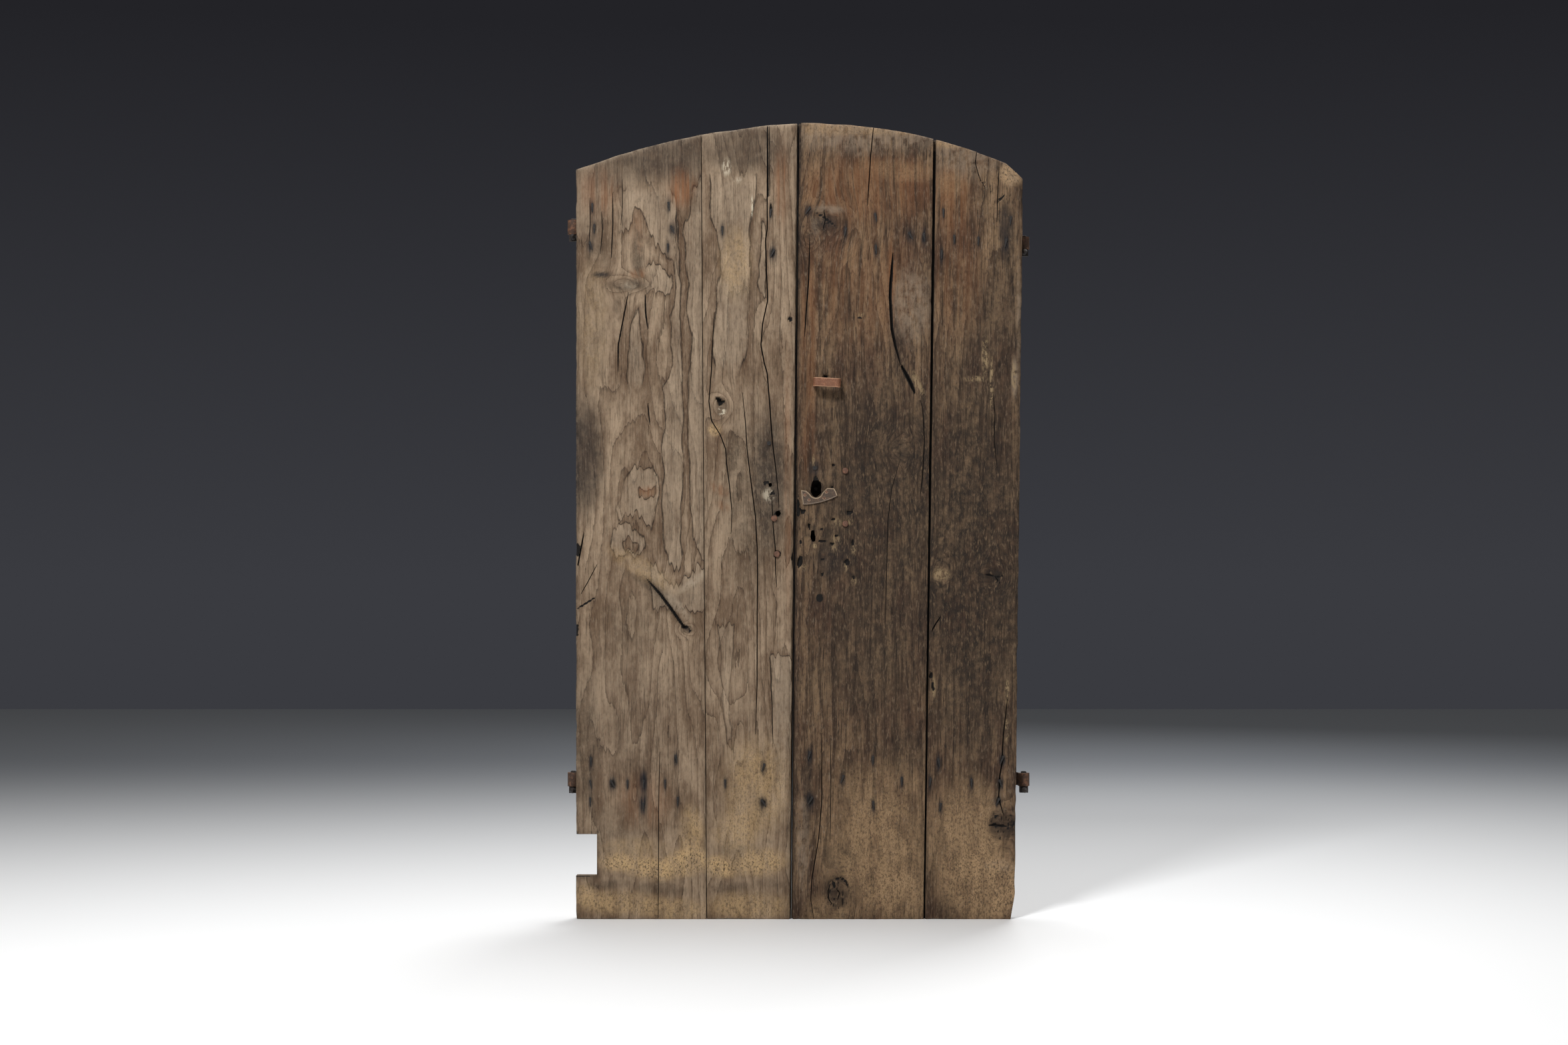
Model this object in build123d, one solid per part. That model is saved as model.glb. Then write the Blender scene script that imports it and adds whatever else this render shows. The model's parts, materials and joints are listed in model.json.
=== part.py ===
from build123d import *
import os

# A weathered double door under a low arch: two plank leaves with battens, strap hinges and a rim lock.
# Lengths are in millimetres. X runs across the door, Y from its face to its back, and Z up from its foot.

# Whole door
door_height = 1900
hinge_axis_spacing = 1082
plank_thickness = 36
cut_overrun = 6

# Edges where planks lap over each other
lap_depth = 16
lap_width = 12
lap_gap = 1

# Edges where the two leaves meet
meeting_foot_x = -21.5
meeting_top_x = -3.5
meeting_face_gap_foot = 6.3
meeting_face_gap_top = 9.5
meeting_back_gap = 0.8
meeting_bevel = 3

# Left leaf
left_edge_inset = 10
left_outer_plank_foot_width = 311
left_outer_plank_top_width = 297.5
left_seam_gap = 1.5
left_arch_radius = 1745
left_crown_x = 88
left_crown_above_door = 1

# Notch broken out of the left leaf's outer edge
notch_foot = 103
notch_height = 100
notch_face_depth = 50
notch_back_depth = 45

# Right leaf
right_edge_inset_foot = 26
right_edge_inset_top = 4
right_outer_plank_foot_width = 213.5
right_outer_plank_top_width = 208.5
right_seam_gap_foot = 4
right_seam_gap_top = 7
right_arch_radius = 1241
right_crown_x = 15
top_chip_width = 44
top_chip_height = 40
top_chip_below_crown = 94
foot_chip_width = 10
foot_chip_height = 57

# Open splits along the grain, as shares of a plank's width and of the door's height
split_width = 3
split_depth = 9
left_outer_split_shares = [((0.58, 0.418), (0.866, 0.363))]
left_inner_split_shares = [((0.745, 0.61), (0.842, 0.514)), ((0.678, 0.993), (0.70, 0.794))]
right_inner_split_shares = [
    ((0.548, 0.995), (0.515, 0.894)),
    ((0.682, 0.819), (0.72, 0.72)),
    ((0.715, 0.725), (0.945, 0.656)),
]
right_outer_split_shares = [((0.818, 0.267), (0.87, 0.138))]

# Battens across the back
batten_height = 150
batten_thickness = 26
batten_edge_chamfer = 6
batten_hinge_inset = 13
batten_meeting_inset = 12
upper_batten_drops = {"left_upper": 248, "right_upper": 255}
lower_batten_heights = {"left_lower": 333, "right_lower": 335}

# Strap hinges, over the battens
strap_thickness = 6
strap_tip_height_share = 0.62
eye_radius = 14
eye_bore_radius = 7
eye_proud = 1
strap_lengths = {"left_upper": 391, "left_lower": 391, "right_upper": 451, "right_lower": 456}
strap_eye_heights = {"left_upper": 35, "left_lower": 33, "right_upper": 30, "right_lower": 31}
strap_above_batten_middle = {
    "left_upper": 3,
    "left_lower": -4,
    "right_upper": -28,
    "right_lower": -6,
}
strap_tip_rises = {"left_upper": -6, "left_lower": 2, "right_upper": 31, "right_lower": 13}

# Pintles that carry the hinge eyes
pintle_clearance = 0.1
pintle_pin_above_eye = 4
pintle_pin_chamfer = 2
pintle_block_side = 20
pintle_block_height = 16
spike_radius = 6
spike_length = 26
spike_point_length = 12
spike_point_radius = 2

# Square wrought nails, driven from the back with their tips turned over on the face
nail_side = 5
nail_clearance = 0.1
nail_head_side = 13
nail_head_height = 4
nail_head_taper = 30
clinch_length = 18
clinch_tip_side = 2
clinch_thickness = 2

# Nails of each batten: share of its length from the hinge side, share of its height, turn of the tip
batten_nail_shares = {
    "left_upper": [
        (0.052, 0.35, 0),
        (0.415, 0.37, 8),
        (0.903, 0.26, -6),
        (0.04, -0.26, 20),
        (0.412, -0.29, 0),
        (0.917, -0.38, -25),
    ],
    "left_lower": [
        (0.047, 0.34, 0),
        (0.461, 0.38, 10),
        (0.894, 0.24, -20),
        (0.043, -0.30, 0),
        (0.303, -0.38, 0),
        (0.471, -0.29, 0),
        (0.882, -0.33, 35),
    ],
    "right_upper": [
        (0.978, 0.34, -35),
        (0.67, 0.24, 12),
        (0.348, 0.31, 0),
        (0.03, 0.19, -6),
        (0.667, -0.27, 6),
        (0.356, -0.35, 0),
    ],
    "right_lower": [
        (0.948, 0.42, -15),
        (0.651, 0.35, 0),
        (0.342, 0.31, 10),
        (0.037, 0.35, -20),
        (0.938, -0.30, -30),
        (0.65, -0.37, 5),
        (0.33, -0.40, -10),
        (0.056, -0.32, -25),
    ],
}

# Nails of each strap: share of its length from the eye, turn of the tip
strap_nail_shares = {
    "left_upper": [(0.138, 0), (0.606, 25), (0.918, 0)],
    "left_lower": [(0.113, 10), (0.24, 30), (0.34, 0), (0.437, 0), (0.569, 0), (0.935, 0)],
    "right_upper": [(0.102, -10), (0.25, 0), (0.377, 0), (0.539, 10), (0.616, 30), (0.951, -8)],
    "right_lower": [(0.136, 20), (0.283, 0), (0.496, -10), (0.648, 0), (0.953, -20)],
}

# Keyholes
keyhole_from_meeting = 45
keyhole_height = 1026.5
keyhole_width = 23
keyhole_tall = 34
old_keyhole_inward = 7
old_keyhole_drop = 112
old_keyhole_width = 11
old_keyhole_tall = 30

# Rim lock on the back of the right leaf
case_from_meeting = 7
case_width = 126
case_height = 205
case_depth = 34
case_wall = 3
case_below_key = 34
bolt_below_key = 50
bolt_height = 26
bolt_thickness = 12
bolt_tail_room = 3
bolt_throw = 34
slide_clearance = 0.3
key_post_radius = 4
key_post_length = 24
talon_width = 26
talon_depth = 8
guide_width = 8
guide_wall = 4
guide_inset = 14
guide_spacing = 54
spring_thickness = 2
spring_width = 10
spring_span = 40
spring_rise = 9
spring_foot = 8

# Keeper for the lock's bolt, on the back of the left leaf
keeper_from_meeting = 8
keeper_width = 66
keeper_height = 200
keeper_thickness = 4
keeper_below_key = 76
staple_past_bolt = 17
staple_wall = 5
staple_room = 2

# Round-headed bolts that hold the lock and its keeper
stud_radius = 4
stud_clearance = 0.15
stud_head_radius = 7.5
stud_head_height = 3.5
stud_head_round = 2.5
nut_side = 14
nut_thickness = 6

# Places of those bolts, and of two empty bolt holes, as shares of the case's and the keeper's sizes
lock_stud_shares = ((0.857, 0.375), (0.857, -0.2415))
keeper_stud_shares = ((0.583, 0.0265), (0.485, -0.3985))
empty_hole_shares = ((0.727, 0.4275), (0.447, 0.086))
empty_hole_radii = (4.4, 6.4)

# What is left of the keyhole's plate
plate_width = 87
plate_height = 40
plate_thickness = 2
plate_from_meeting = 9
plate_foot_below_key = 38
plate_nail_radius = 1.5
plate_nail_clearance = 0.1
plate_nail_length = 14
plate_nail_head_radius = 3
plate_nail_head_height = 1.5
plate_foot_arc_shares = ((0.054, 0.0), (0.55, 0.15), (0.963, 0.48))
plate_broken_end_shares = ((1.0, 0.54), (0.963, 0.78), (0.908, 0.975), (0.724, 1.0))
plate_keyhole_arc_shares = ((0.58, 0.70), (0.43, 0.415), (0.25, 0.64))
plate_worn_end_shares = ((0.137, 0.84), (0.0, 0.875))
plate_nail_shares = ((0.11, 0.58), (0.225, 0.30), (0.642, 0.40), (0.70, 0.755))

# Pull made of a bent strap
pull_from_meeting = 68
pull_above_key = 252.5
pull_width = 66
pull_strap_height = 21
pull_thickness = 6
pull_reach = 34
pull_tenon = 26
pull_bend_radius = 7
pull_turn = 2.8
pull_clearance = 0.2
gouge_width = 18
gouge_height = 10
gouge_depth = 12
gouge_above_pull = 14

# Stray nails left in the face
stray_nail_radius = 2
stray_nail_head_radius = 5
stray_nail_head_height = 2
stray_nail_length = 24
left_stray_from_meeting = 60
left_stray_above_key = 108.5
right_stray_from_meeting = 42
right_stray_above_key = 49.5

# Depths, worked out from the layers so that the part's depth is centred on the origin
back_reach = plank_thickness + batten_thickness + strap_thickness + nail_head_height
lock_reach = plank_thickness + case_depth + nut_thickness
face = (pull_reach - max(back_reach, lock_reach)) / 2
lap = face + lap_depth
back = face + plank_thickness
batten_back = back + batten_thickness
strap_back = batten_back + strap_thickness
axis_y = strap_back + eye_proud - eye_radius
case_back = back + case_depth
case_floor = case_back - case_wall

# Lines across the door, each as its place at the foot and its place at the door's full height
axis_x = hinge_axis_spacing / 2
left_edge = (left_edge_inset - axis_x, left_edge_inset - axis_x)
left_seam = (left_edge[0] + left_outer_plank_foot_width, left_edge[1] + left_outer_plank_top_width)
left_meeting = (meeting_foot_x, meeting_top_x)
right_meeting = (meeting_foot_x + meeting_face_gap_foot, meeting_top_x + meeting_face_gap_top)
right_edge = (axis_x - right_edge_inset_foot, axis_x - right_edge_inset_top)
right_seam = (right_edge[0] - right_outer_plank_foot_width, right_edge[1] - right_outer_plank_top_width)
sides = ("left_upper", "left_lower", "right_upper", "right_lower")
batten_heights = dict(lower_batten_heights)
for name, drop in upper_batten_drops.items():
    batten_heights[name] = door_height - drop


def moved_line(line, foot_shift, top_shift):
    """A leaning line shifted sideways at its foot and at its top."""
    return (line[0] + foot_shift, line[1] + top_shift)


def line_at(line, height):
    """The place of a leaning line at a height."""
    return line[0] + (line[1] - line[0]) * height / door_height


def slab(outline, front, rear):
    """An outline drawn in width and height, filled from a front depth to a rear depth."""
    return extrude(Plane.XZ.offset(-rear) * outline, amount=rear - front)


def rod(x, height, radius, front, rear):
    """A round bar that runs from a front depth to a rear depth."""
    return slab(Pos(x, height) * Circle(radius), front, rear)


def polygon(points):
    """A closed flat outline through points."""
    return make_face(Polyline(*points, close=True))


def arch(crown_x, crown_height, radius):
    """The disc under a leaf's arch."""
    return Pos(crown_x, crown_height - radius) * Circle(radius)


def strip(near_line, far_line, arch_disc):
    """One layer of a plank: between two leaning lines, under the arch."""
    top = door_height + cut_overrun
    corners = [
        (line_at(near_line, 0), 0),
        (line_at(far_line, 0), 0),
        (line_at(far_line, top), top),
        (line_at(near_line, top), top),
    ]
    return polygon(corners) & arch_disc


def plank(face_lines, back_lines, arch_disc):
    """A plank of two layers, so that its edges can lap over or under a neighbour's."""
    front_layer = slab(strip(*face_lines, arch_disc), face, lap)
    back_layer = slab(strip(*back_lines, arch_disc), lap, back)
    return front_layer + back_layer


def meeting_wedge(face_line, away):
    """What is planed off a meeting edge, so that its face stands further back than its rear."""
    slope = meeting_bevel / plank_thickness
    start = face_line[0] - away * slope * cut_overrun
    end = face_line[0] + away * (meeting_bevel + slope * cut_overrun)
    far = face_line[0] + away * (meeting_bevel + lap_width + meeting_face_gap_top)
    outline = polygon(
        [
            (start, face - cut_overrun),
            (end, back + cut_overrun),
            (far, back + cut_overrun),
            (far, face - cut_overrun),
        ]
    )
    lean = Vector(face_line[1] - face_line[0], 0, door_height)
    return extrude(outline, amount=lean.length + cut_overrun, dir=lean.normalized(), both=True)


def split_cut(lines, shares):
    """A split along the grain: a long thin diamond sunk into the face."""
    ends = []
    for x_share, height_share in shares:
        height = height_share * door_height
        near = line_at(lines[0], height)
        ends.append(Vector(near + x_share * (line_at(lines[1], height) - near), height))
    along = (ends[1] - ends[0]).normalized()
    across = Vector(-along.Y, along.X) * (split_width / 2)
    middle = (ends[0] + ends[1]) / 2
    outline = polygon([ends[0], middle + across, ends[1], middle - across])
    return slab(outline, face - cut_overrun, face + split_depth)


def batten_span(side):
    """The hinge end and the meeting end of a batten."""
    height = batten_heights[side]
    if side.startswith("left"):
        return (
            line_at(left_edge, height) + batten_hinge_inset,
            line_at(left_meeting, height) - batten_meeting_inset,
        )
    return (
        line_at(right_edge, height) - batten_hinge_inset,
        line_at(right_meeting, height) + batten_meeting_inset,
    )


def strap_place(side, share):
    """A point on a strap's middle line, at a share of its length from the eye."""
    inward = 1 if side.startswith("left") else -1
    eye_height = batten_heights[side] + strap_above_batten_middle[side]
    x = inward * (share * strap_lengths[side] - axis_x)
    return x, eye_height + share * strap_tip_rises[side]


def batten_nail_places(side):
    """Places and tip turns of the nails that hold one batten."""
    hinge_end, meeting_end = batten_span(side)
    places = []
    for along_share, up_share, turn in batten_nail_shares[side]:
        x = hinge_end + along_share * (meeting_end - hinge_end)
        places.append((x, batten_heights[side] + up_share * batten_height, turn))
    return places


def strap_nail_places(side):
    """Places and tip turns of the nails that hold one strap."""
    return [(*strap_place(side, share), turn) for share, turn in strap_nail_shares[side]]


def nail_hole(x, height):
    """A square hole for a nail, through every layer of the door."""
    side = nail_side + 2 * nail_clearance
    return slab(Pos(x, height) * Rectangle(side, side), face - cut_overrun, strap_back + cut_overrun)


def nail(x, height, turn, seat):
    """A wrought nail: rose head on its seat at the back, shank, and tip turned over on the face."""
    shank = slab(Pos(x, height) * Rectangle(nail_side, nail_side), face - clinch_thickness, seat)
    tip = polygon(
        [
            (-nail_side / 2, nail_side / 2),
            (nail_side / 2, nail_side / 2),
            (clinch_tip_side / 2, -clinch_length),
            (-clinch_tip_side / 2, -clinch_length),
        ]
    )
    clinch = slab(Pos(x, height) * Rot(0, 0, turn) * tip, face - clinch_thickness, face)
    seat_plane = Plane((x, seat, height), x_dir=(1, 0, 0), z_dir=(0, 1, 0))
    head_outline = seat_plane * Rectangle(nail_head_side, nail_head_side)
    head = extrude(head_outline, amount=nail_head_height, taper=nail_head_taper)
    return shank + clinch + head


def nail_holes(prefix):
    """Holes for all the nails of one leaf."""
    holes = []
    for side in sides:
        if side.startswith(prefix):
            for x, height, turn in batten_nail_places(side) + strap_nail_places(side):
                holes.append(nail_hole(x, height))
    return holes


def batten(side):
    """A batten with its rear long edges planed off."""
    ends = batten_span(side)
    middle = Pos((ends[0] + ends[1]) / 2, batten_heights[side])
    outline = middle * Rectangle(abs(ends[1] - ends[0]), batten_height)
    bar = slab(outline, back, batten_back)
    rear = bar.faces().sort_by(Axis.Y)[-1]
    bar = chamfer(rear.edges().filter_by(Axis.X), batten_edge_chamfer)
    places = batten_nail_places(side) + strap_nail_places(side)
    return bar - [nail_hole(x, height) for x, height, turn in places]


def hinge_strap(side):
    """A forged strap that tapers to a round tip, with an eye rolled at its hinge end."""
    x, height = strap_place(side, 0)
    half = strap_eye_heights[side] / 2
    tip_half = half * strap_tip_height_share
    tip_x, tip_height = strap_place(side, 1)
    inward = 1 if side.startswith("left") else -1
    neck_x = tip_x - inward * tip_half
    outline = make_face(
        Polyline((neck_x, tip_height - tip_half), (x, height - half), (x, height + half),
                 (neck_x, tip_height + tip_half))
        + ThreePointArc((neck_x, tip_height + tip_half), (tip_x, tip_height),
                        (neck_x, tip_height - tip_half))
    )
    strap = slab(outline, batten_back, strap_back)
    eye_place = Pos(x, axis_y, height)
    strap += eye_place * Cylinder(eye_radius, 2 * half)
    strap -= eye_place * Cylinder(eye_bore_radius, 2 * half + 2 * cut_overrun)
    return strap - [nail_hole(place[0], place[1]) for place in strap_nail_places(side)]


def pintle(side):
    """A pintle: pin in the eye, block under it, and a spike that runs forward into the post."""
    x, height = strap_place(side, 0)
    eye_foot = height - strap_eye_heights[side] / 2
    pin_length = strap_eye_heights[side] + pintle_pin_above_eye
    up = (Align.CENTER, Align.CENTER, Align.MIN)
    pin = Cylinder(eye_bore_radius - pintle_clearance, pin_length, align=up)
    pin = chamfer(pin.edges().sort_by(Axis.Z)[-1], pintle_pin_chamfer)
    block = Box(pintle_block_side, pintle_block_side, pintle_block_height, align=up)
    spike_height = eye_foot - pintle_block_height / 2
    spike_end = axis_y - pintle_block_side / 2 - spike_length
    spike = rod(x, spike_height, spike_radius, spike_end, axis_y)
    point_plane = Plane((x, spike_end, spike_height), x_dir=(1, 0, 0), z_dir=(0, -1, 0))
    up_cone = Cone(spike_radius, spike_point_radius, spike_point_length, align=up)
    body = Pos(x, axis_y, eye_foot - pintle_block_height) * block + spike
    body += point_plane.location * up_cone
    return body + Pos(x, axis_y, eye_foot) * pin


def stud(x, height, seat):
    """A round-headed bolt through a plank, with a square nut on its seat at the back."""
    head = rod(x, height, stud_head_radius, face - stud_head_height, face)
    head = fillet(head.edges().sort_by(Axis.Y)[0], stud_head_round)
    shank = rod(x, height, stud_radius, face, seat + nut_thickness)
    nut = slab(Pos(x, height) * Rectangle(nut_side, nut_side), seat, seat + nut_thickness)
    return head + shank + nut


def stud_hole(x, height):
    """A hole for a bolt, through a plank and whatever it clamps."""
    return rod(x, height, stud_radius + stud_clearance, face - cut_overrun, case_back + cut_overrun)


def stray_nail(x, height):
    """A round nail left in the face, with its head on the wood."""
    head = rod(x, height, stray_nail_head_radius, face - stray_nail_head_height, face)
    return head + rod(x, height, stray_nail_radius, face, face + stray_nail_length)


def stray_nail_hole(x, height):
    """The hole of a stray nail."""
    radius = stray_nail_radius + plate_nail_clearance
    return rod(x, height, radius, face - cut_overrun, face + stray_nail_length)


# Places that follow the meeting edges
key_x = line_at(right_meeting, keyhole_height) + keyhole_from_meeting
old_key_x = key_x - old_keyhole_inward
old_key_height = keyhole_height - old_keyhole_drop
bolt_z = keyhole_height - bolt_below_key
case_x = line_at(right_meeting, keyhole_height) + case_from_meeting
case_z = keyhole_height - case_below_key
keeper_x = line_at(left_meeting, keyhole_height) - keeper_from_meeting
keeper_z = keyhole_height - keeper_below_key
staple_width = keeper_x - case_x + bolt_throw + staple_past_bolt
lock_stud_places = [(case_x + u * case_width, case_z + v * case_height) for u, v in lock_stud_shares]
keeper_studs = [(keeper_x - u * keeper_width, keeper_z + v * keeper_height) for u, v in keeper_stud_shares]
empty_holes = [(keeper_x - u * keeper_width, keeper_z + v * keeper_height) for u, v in empty_hole_shares]
plate_x = line_at(right_meeting, keyhole_height) + plate_from_meeting
plate_z = keyhole_height - plate_foot_below_key
plate_nail_places = [(plate_x + u * plate_width, plate_z + v * plate_height) for u, v in plate_nail_shares]
pull_height_up = keyhole_height + pull_above_key
pull_x = line_at(right_meeting, pull_height_up) + pull_from_meeting
left_stray_height = keyhole_height + left_stray_above_key
right_stray_height = keyhole_height + right_stray_above_key
left_stray_x = line_at(left_meeting, left_stray_height) - left_stray_from_meeting
right_stray_x = line_at(right_meeting, right_stray_height) + right_stray_from_meeting
left_stray_place = (left_stray_x, left_stray_height)
right_stray_place = (right_stray_x, right_stray_height)
bolt_rear = case_floor - slide_clearance
bolt_front = bolt_rear - bolt_thickness


def pull_plan(thicker):
    """The pull seen from above: a strap bent square at both ends, drawn about its own middle."""
    half = pull_width / 2
    path = FilletPolyline(
        (-half + pull_thickness / 2, pull_tenon),
        (-half + pull_thickness / 2, pull_thickness / 2 - pull_reach),
        (half - pull_thickness / 2, pull_thickness / 2 - pull_reach),
        (half - pull_thickness / 2, pull_tenon),
        radius=pull_bend_radius,
    )
    return trace(path, line_width=pull_thickness + 2 * thicker)


def pull_solid(thicker):
    """The bent strap at its place on the face, a little turned, with a margin for its mortises."""
    height = pull_strap_height + 2 * thicker
    bent = extrude(pull_plan(thicker), amount=height / 2, both=True)
    return Pos(pull_x, face, pull_height_up) * Rot(0, pull_turn, 0) * bent


def left_outer_plank():
    """Hinge-side plank of the left leaf, with a notch broken out of its edge."""
    disc = arch(left_crown_x, door_height + left_crown_above_door, left_arch_radius)
    under = moved_line(left_seam, -lap_width - lap_gap, -lap_width - lap_gap)
    body = plank((left_edge, left_seam), (left_edge, under), disc)
    edge = left_edge[0]
    slope = (notch_face_depth - notch_back_depth) / plank_thickness
    notch = polygon(
        [
            (edge - cut_overrun, face - cut_overrun),
            (edge + notch_face_depth + slope * cut_overrun, face - cut_overrun),
            (edge + notch_back_depth - slope * cut_overrun, back + cut_overrun),
            (edge - cut_overrun, back + cut_overrun),
        ]
    )
    cuts = [Pos(0, 0, notch_foot) * extrude(notch, amount=notch_height)]
    cuts += [split_cut((left_edge, left_seam), shares) for shares in left_outer_split_shares]
    return body - (cuts + nail_holes("left"))


def left_inner_plank():
    """Meeting plank of the left leaf, drilled for the keeper's bolts."""
    disc = arch(left_crown_x, door_height + left_crown_above_door, left_arch_radius)
    near = moved_line(left_seam, left_seam_gap, left_seam_gap)
    under = moved_line(left_seam, -lap_width, -lap_width)
    reach = moved_line(left_meeting, meeting_bevel, meeting_bevel)
    body = plank((near, reach), (under, reach), disc)
    cuts = [meeting_wedge(left_meeting, 1)]
    cuts += [split_cut((near, left_meeting), shares) for shares in left_inner_split_shares]
    cuts += [stud_hole(*place) for place in keeper_studs]
    for place, radius in zip(empty_holes, empty_hole_radii):
        cuts.append(rod(*place, radius, face - cut_overrun, back + cut_overrun))
    cuts.append(stray_nail_hole(*left_stray_place))
    return body - (cuts + nail_holes("left"))


def right_inner_plank():
    """Meeting plank of the right leaf, with a rebated edge, keyholes, and mortises for the pull."""
    disc = arch(right_crown_x, door_height, right_arch_radius)
    seam_side = moved_line(right_seam, -right_seam_gap_foot, -right_seam_gap_top)
    under = moved_line(seam_side, -lap_width - lap_gap, -lap_width - lap_gap)
    reach = meeting_bevel + meeting_back_gap
    tongue = moved_line(left_meeting, reach, reach)
    body = plank((right_meeting, seam_side), (tongue, under), disc)
    tongue_face = moved_line(tongue, meeting_bevel, meeting_bevel)
    cuts = [meeting_wedge(tongue_face, -1)]
    cuts += [split_cut((right_meeting, seam_side), shares) for shares in right_inner_split_shares]
    keyhole = Pos(key_x, keyhole_height) * SlotOverall(keyhole_tall, keyhole_width, rotation=90)
    old_keyhole = Pos(old_key_x, old_key_height) * SlotOverall(
        old_keyhole_tall, old_keyhole_width, rotation=90
    )
    for hole in (keyhole, old_keyhole):
        cuts.append(slab(hole, face - cut_overrun, back + cut_overrun))
    gouge = Pos(pull_x, pull_height_up + gouge_above_pull) * Ellipse(gouge_width / 2, gouge_height / 2)
    cuts.append(slab(gouge, face - cut_overrun, face + gouge_depth))
    cuts.append(pull_solid(pull_clearance))
    cuts += [stud_hole(*place) for place in lock_stud_places]
    for place in plate_nail_places:
        radius = plate_nail_radius + plate_nail_clearance
        cuts.append(rod(*place, radius, face - cut_overrun, face + plate_nail_length))
    cuts.append(stray_nail_hole(*right_stray_place))
    return body - (cuts + nail_holes("right"))


def right_outer_plank():
    """Hinge-side plank of the right leaf, with its upper and lower corners broken off."""
    disc = arch(right_crown_x, door_height, right_arch_radius)
    seam_side = moved_line(right_seam, -right_seam_gap_foot, -right_seam_gap_top)
    under = moved_line(seam_side, -lap_width, -lap_width)
    body = plank((right_seam, right_edge), (under, right_edge), disc)
    top = door_height - top_chip_below_crown
    edge = line_at(right_edge, top)
    top_chip = polygon(
        [
            (edge - 2 * top_chip_width, top + top_chip_height),
            (edge + top_chip_width, top - 2 * top_chip_height),
            (edge + top_chip_width, top + top_chip_height),
        ]
    )
    foot = line_at(right_edge, 0)
    foot_chip = polygon(
        [
            (foot - 2 * foot_chip_width, -foot_chip_height),
            (foot + foot_chip_width, 2 * foot_chip_height),
            (foot + foot_chip_width, -foot_chip_height),
        ]
    )
    cuts = [slab(chip, face - cut_overrun, back + cut_overrun) for chip in (top_chip, foot_chip)]
    cuts += [split_cut((right_seam, right_edge), shares) for shares in right_outer_split_shares]
    return body - (cuts + nail_holes("right"))


def lock_case():
    """The lock's iron case: a shallow box open to the wood, with a slot for the bolt."""
    outline = Pos(case_x + case_width / 2, case_z) * Rectangle(case_width, case_height)
    hollow = Pos(case_x + case_width / 2, case_z) * Rectangle(
        case_width - 2 * case_wall, case_height - 2 * case_wall
    )
    body = slab(outline, back, case_back) - slab(hollow, back - cut_overrun, case_floor)
    slot_height = bolt_height + 2 * slide_clearance
    slot = Pos(case_x, bolt_z) * Rectangle(2 * cut_overrun, slot_height)
    body -= slab(slot, bolt_front - slide_clearance, case_floor)
    return body - [stud_hole(*place) for place in lock_stud_places]


def lock_bolt():
    """The sliding bolt, with a talon in its upper edge where the key's bit takes it."""
    length = case_width - case_wall - bolt_tail_room
    bar = slab(
        Pos(case_x + length / 2, bolt_z) * Rectangle(length, bolt_height), bolt_front, bolt_rear
    )
    talon = Pos(key_x, bolt_z + bolt_height / 2) * Rectangle(talon_width, 2 * talon_depth)
    return bar - slab(talon, bolt_front - cut_overrun, bolt_rear + cut_overrun)


def bolt_guides():
    """Two staples on the case's floor that the bolt slides through."""
    inner = bolt_height + 2 * slide_clearance
    outer = inner + 2 * guide_wall
    guides = []
    for x in (case_x + guide_inset, case_x + guide_inset + guide_spacing):
        middle = Pos(x + guide_width / 2, bolt_z)
        block = slab(
            middle * Rectangle(guide_width, outer), bolt_front - slide_clearance - guide_wall, case_floor
        )
        way = slab(
            middle * Rectangle(2 * guide_width, inner), bolt_front - slide_clearance, case_floor
        )
        guides.append(block - way)
    return Compound(children=guides)


def key_post():
    """The post that a hollow key turns on."""
    return rod(key_x, keyhole_height, key_post_radius, case_floor - key_post_length, case_floor)


def bolt_spring():
    """A bowed spring under the bolt, with its foot on the case's floor."""
    crest = bolt_z - bolt_height / 2 - slide_clearance
    left = case_x + guide_inset + guide_width + spring_foot
    low = crest - spring_thickness - spring_rise
    upper = ThreePointArc(
        (left, low + spring_thickness),
        (left + spring_span / 2, crest),
        (left + spring_span, low + spring_thickness),
    )
    lower = ThreePointArc(
        (left + spring_span, low), (left + spring_span / 2, crest - spring_thickness), (left, low)
    )
    ends = [
        Line((left + spring_span, low + spring_thickness), (left + spring_span, low)),
        Line((left, low), (left, low + spring_thickness)),
    ]
    bow = make_face([upper, ends[0], lower, ends[1]])
    foot_middle = Pos(left + spring_span / 2, low - spring_foot / 2)
    foot = foot_middle * Rectangle(spring_foot, spring_foot)
    stem_height = spring_rise + spring_foot / 2
    stem = Pos(left + spring_span / 2, low + spring_rise - stem_height / 2) * Rectangle(
        spring_thickness, stem_height
    )
    return slab(bow + stem + foot, case_floor - spring_width, case_floor)


def lock_keeper():
    """A plate with a staple that takes the thrown bolt."""
    middle = Pos(keeper_x - keeper_width / 2, keeper_z)
    body = slab(middle * Rectangle(keeper_width, keeper_height), back, back + keeper_thickness)
    inner = bolt_height + 2 * staple_room
    outer = inner + 2 * staple_wall
    staple_rear = bolt_rear + staple_room + staple_wall
    staple_middle = Pos(keeper_x - staple_width / 2, bolt_z)
    staple = slab(staple_middle * Rectangle(staple_width, outer), back, staple_rear)
    way = slab(
        staple_middle * Rectangle(2 * staple_width, inner),
        back + keeper_thickness,
        staple_rear - staple_wall,
    )
    return body + staple - way - [stud_hole(*place) for place in keeper_studs]


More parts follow.
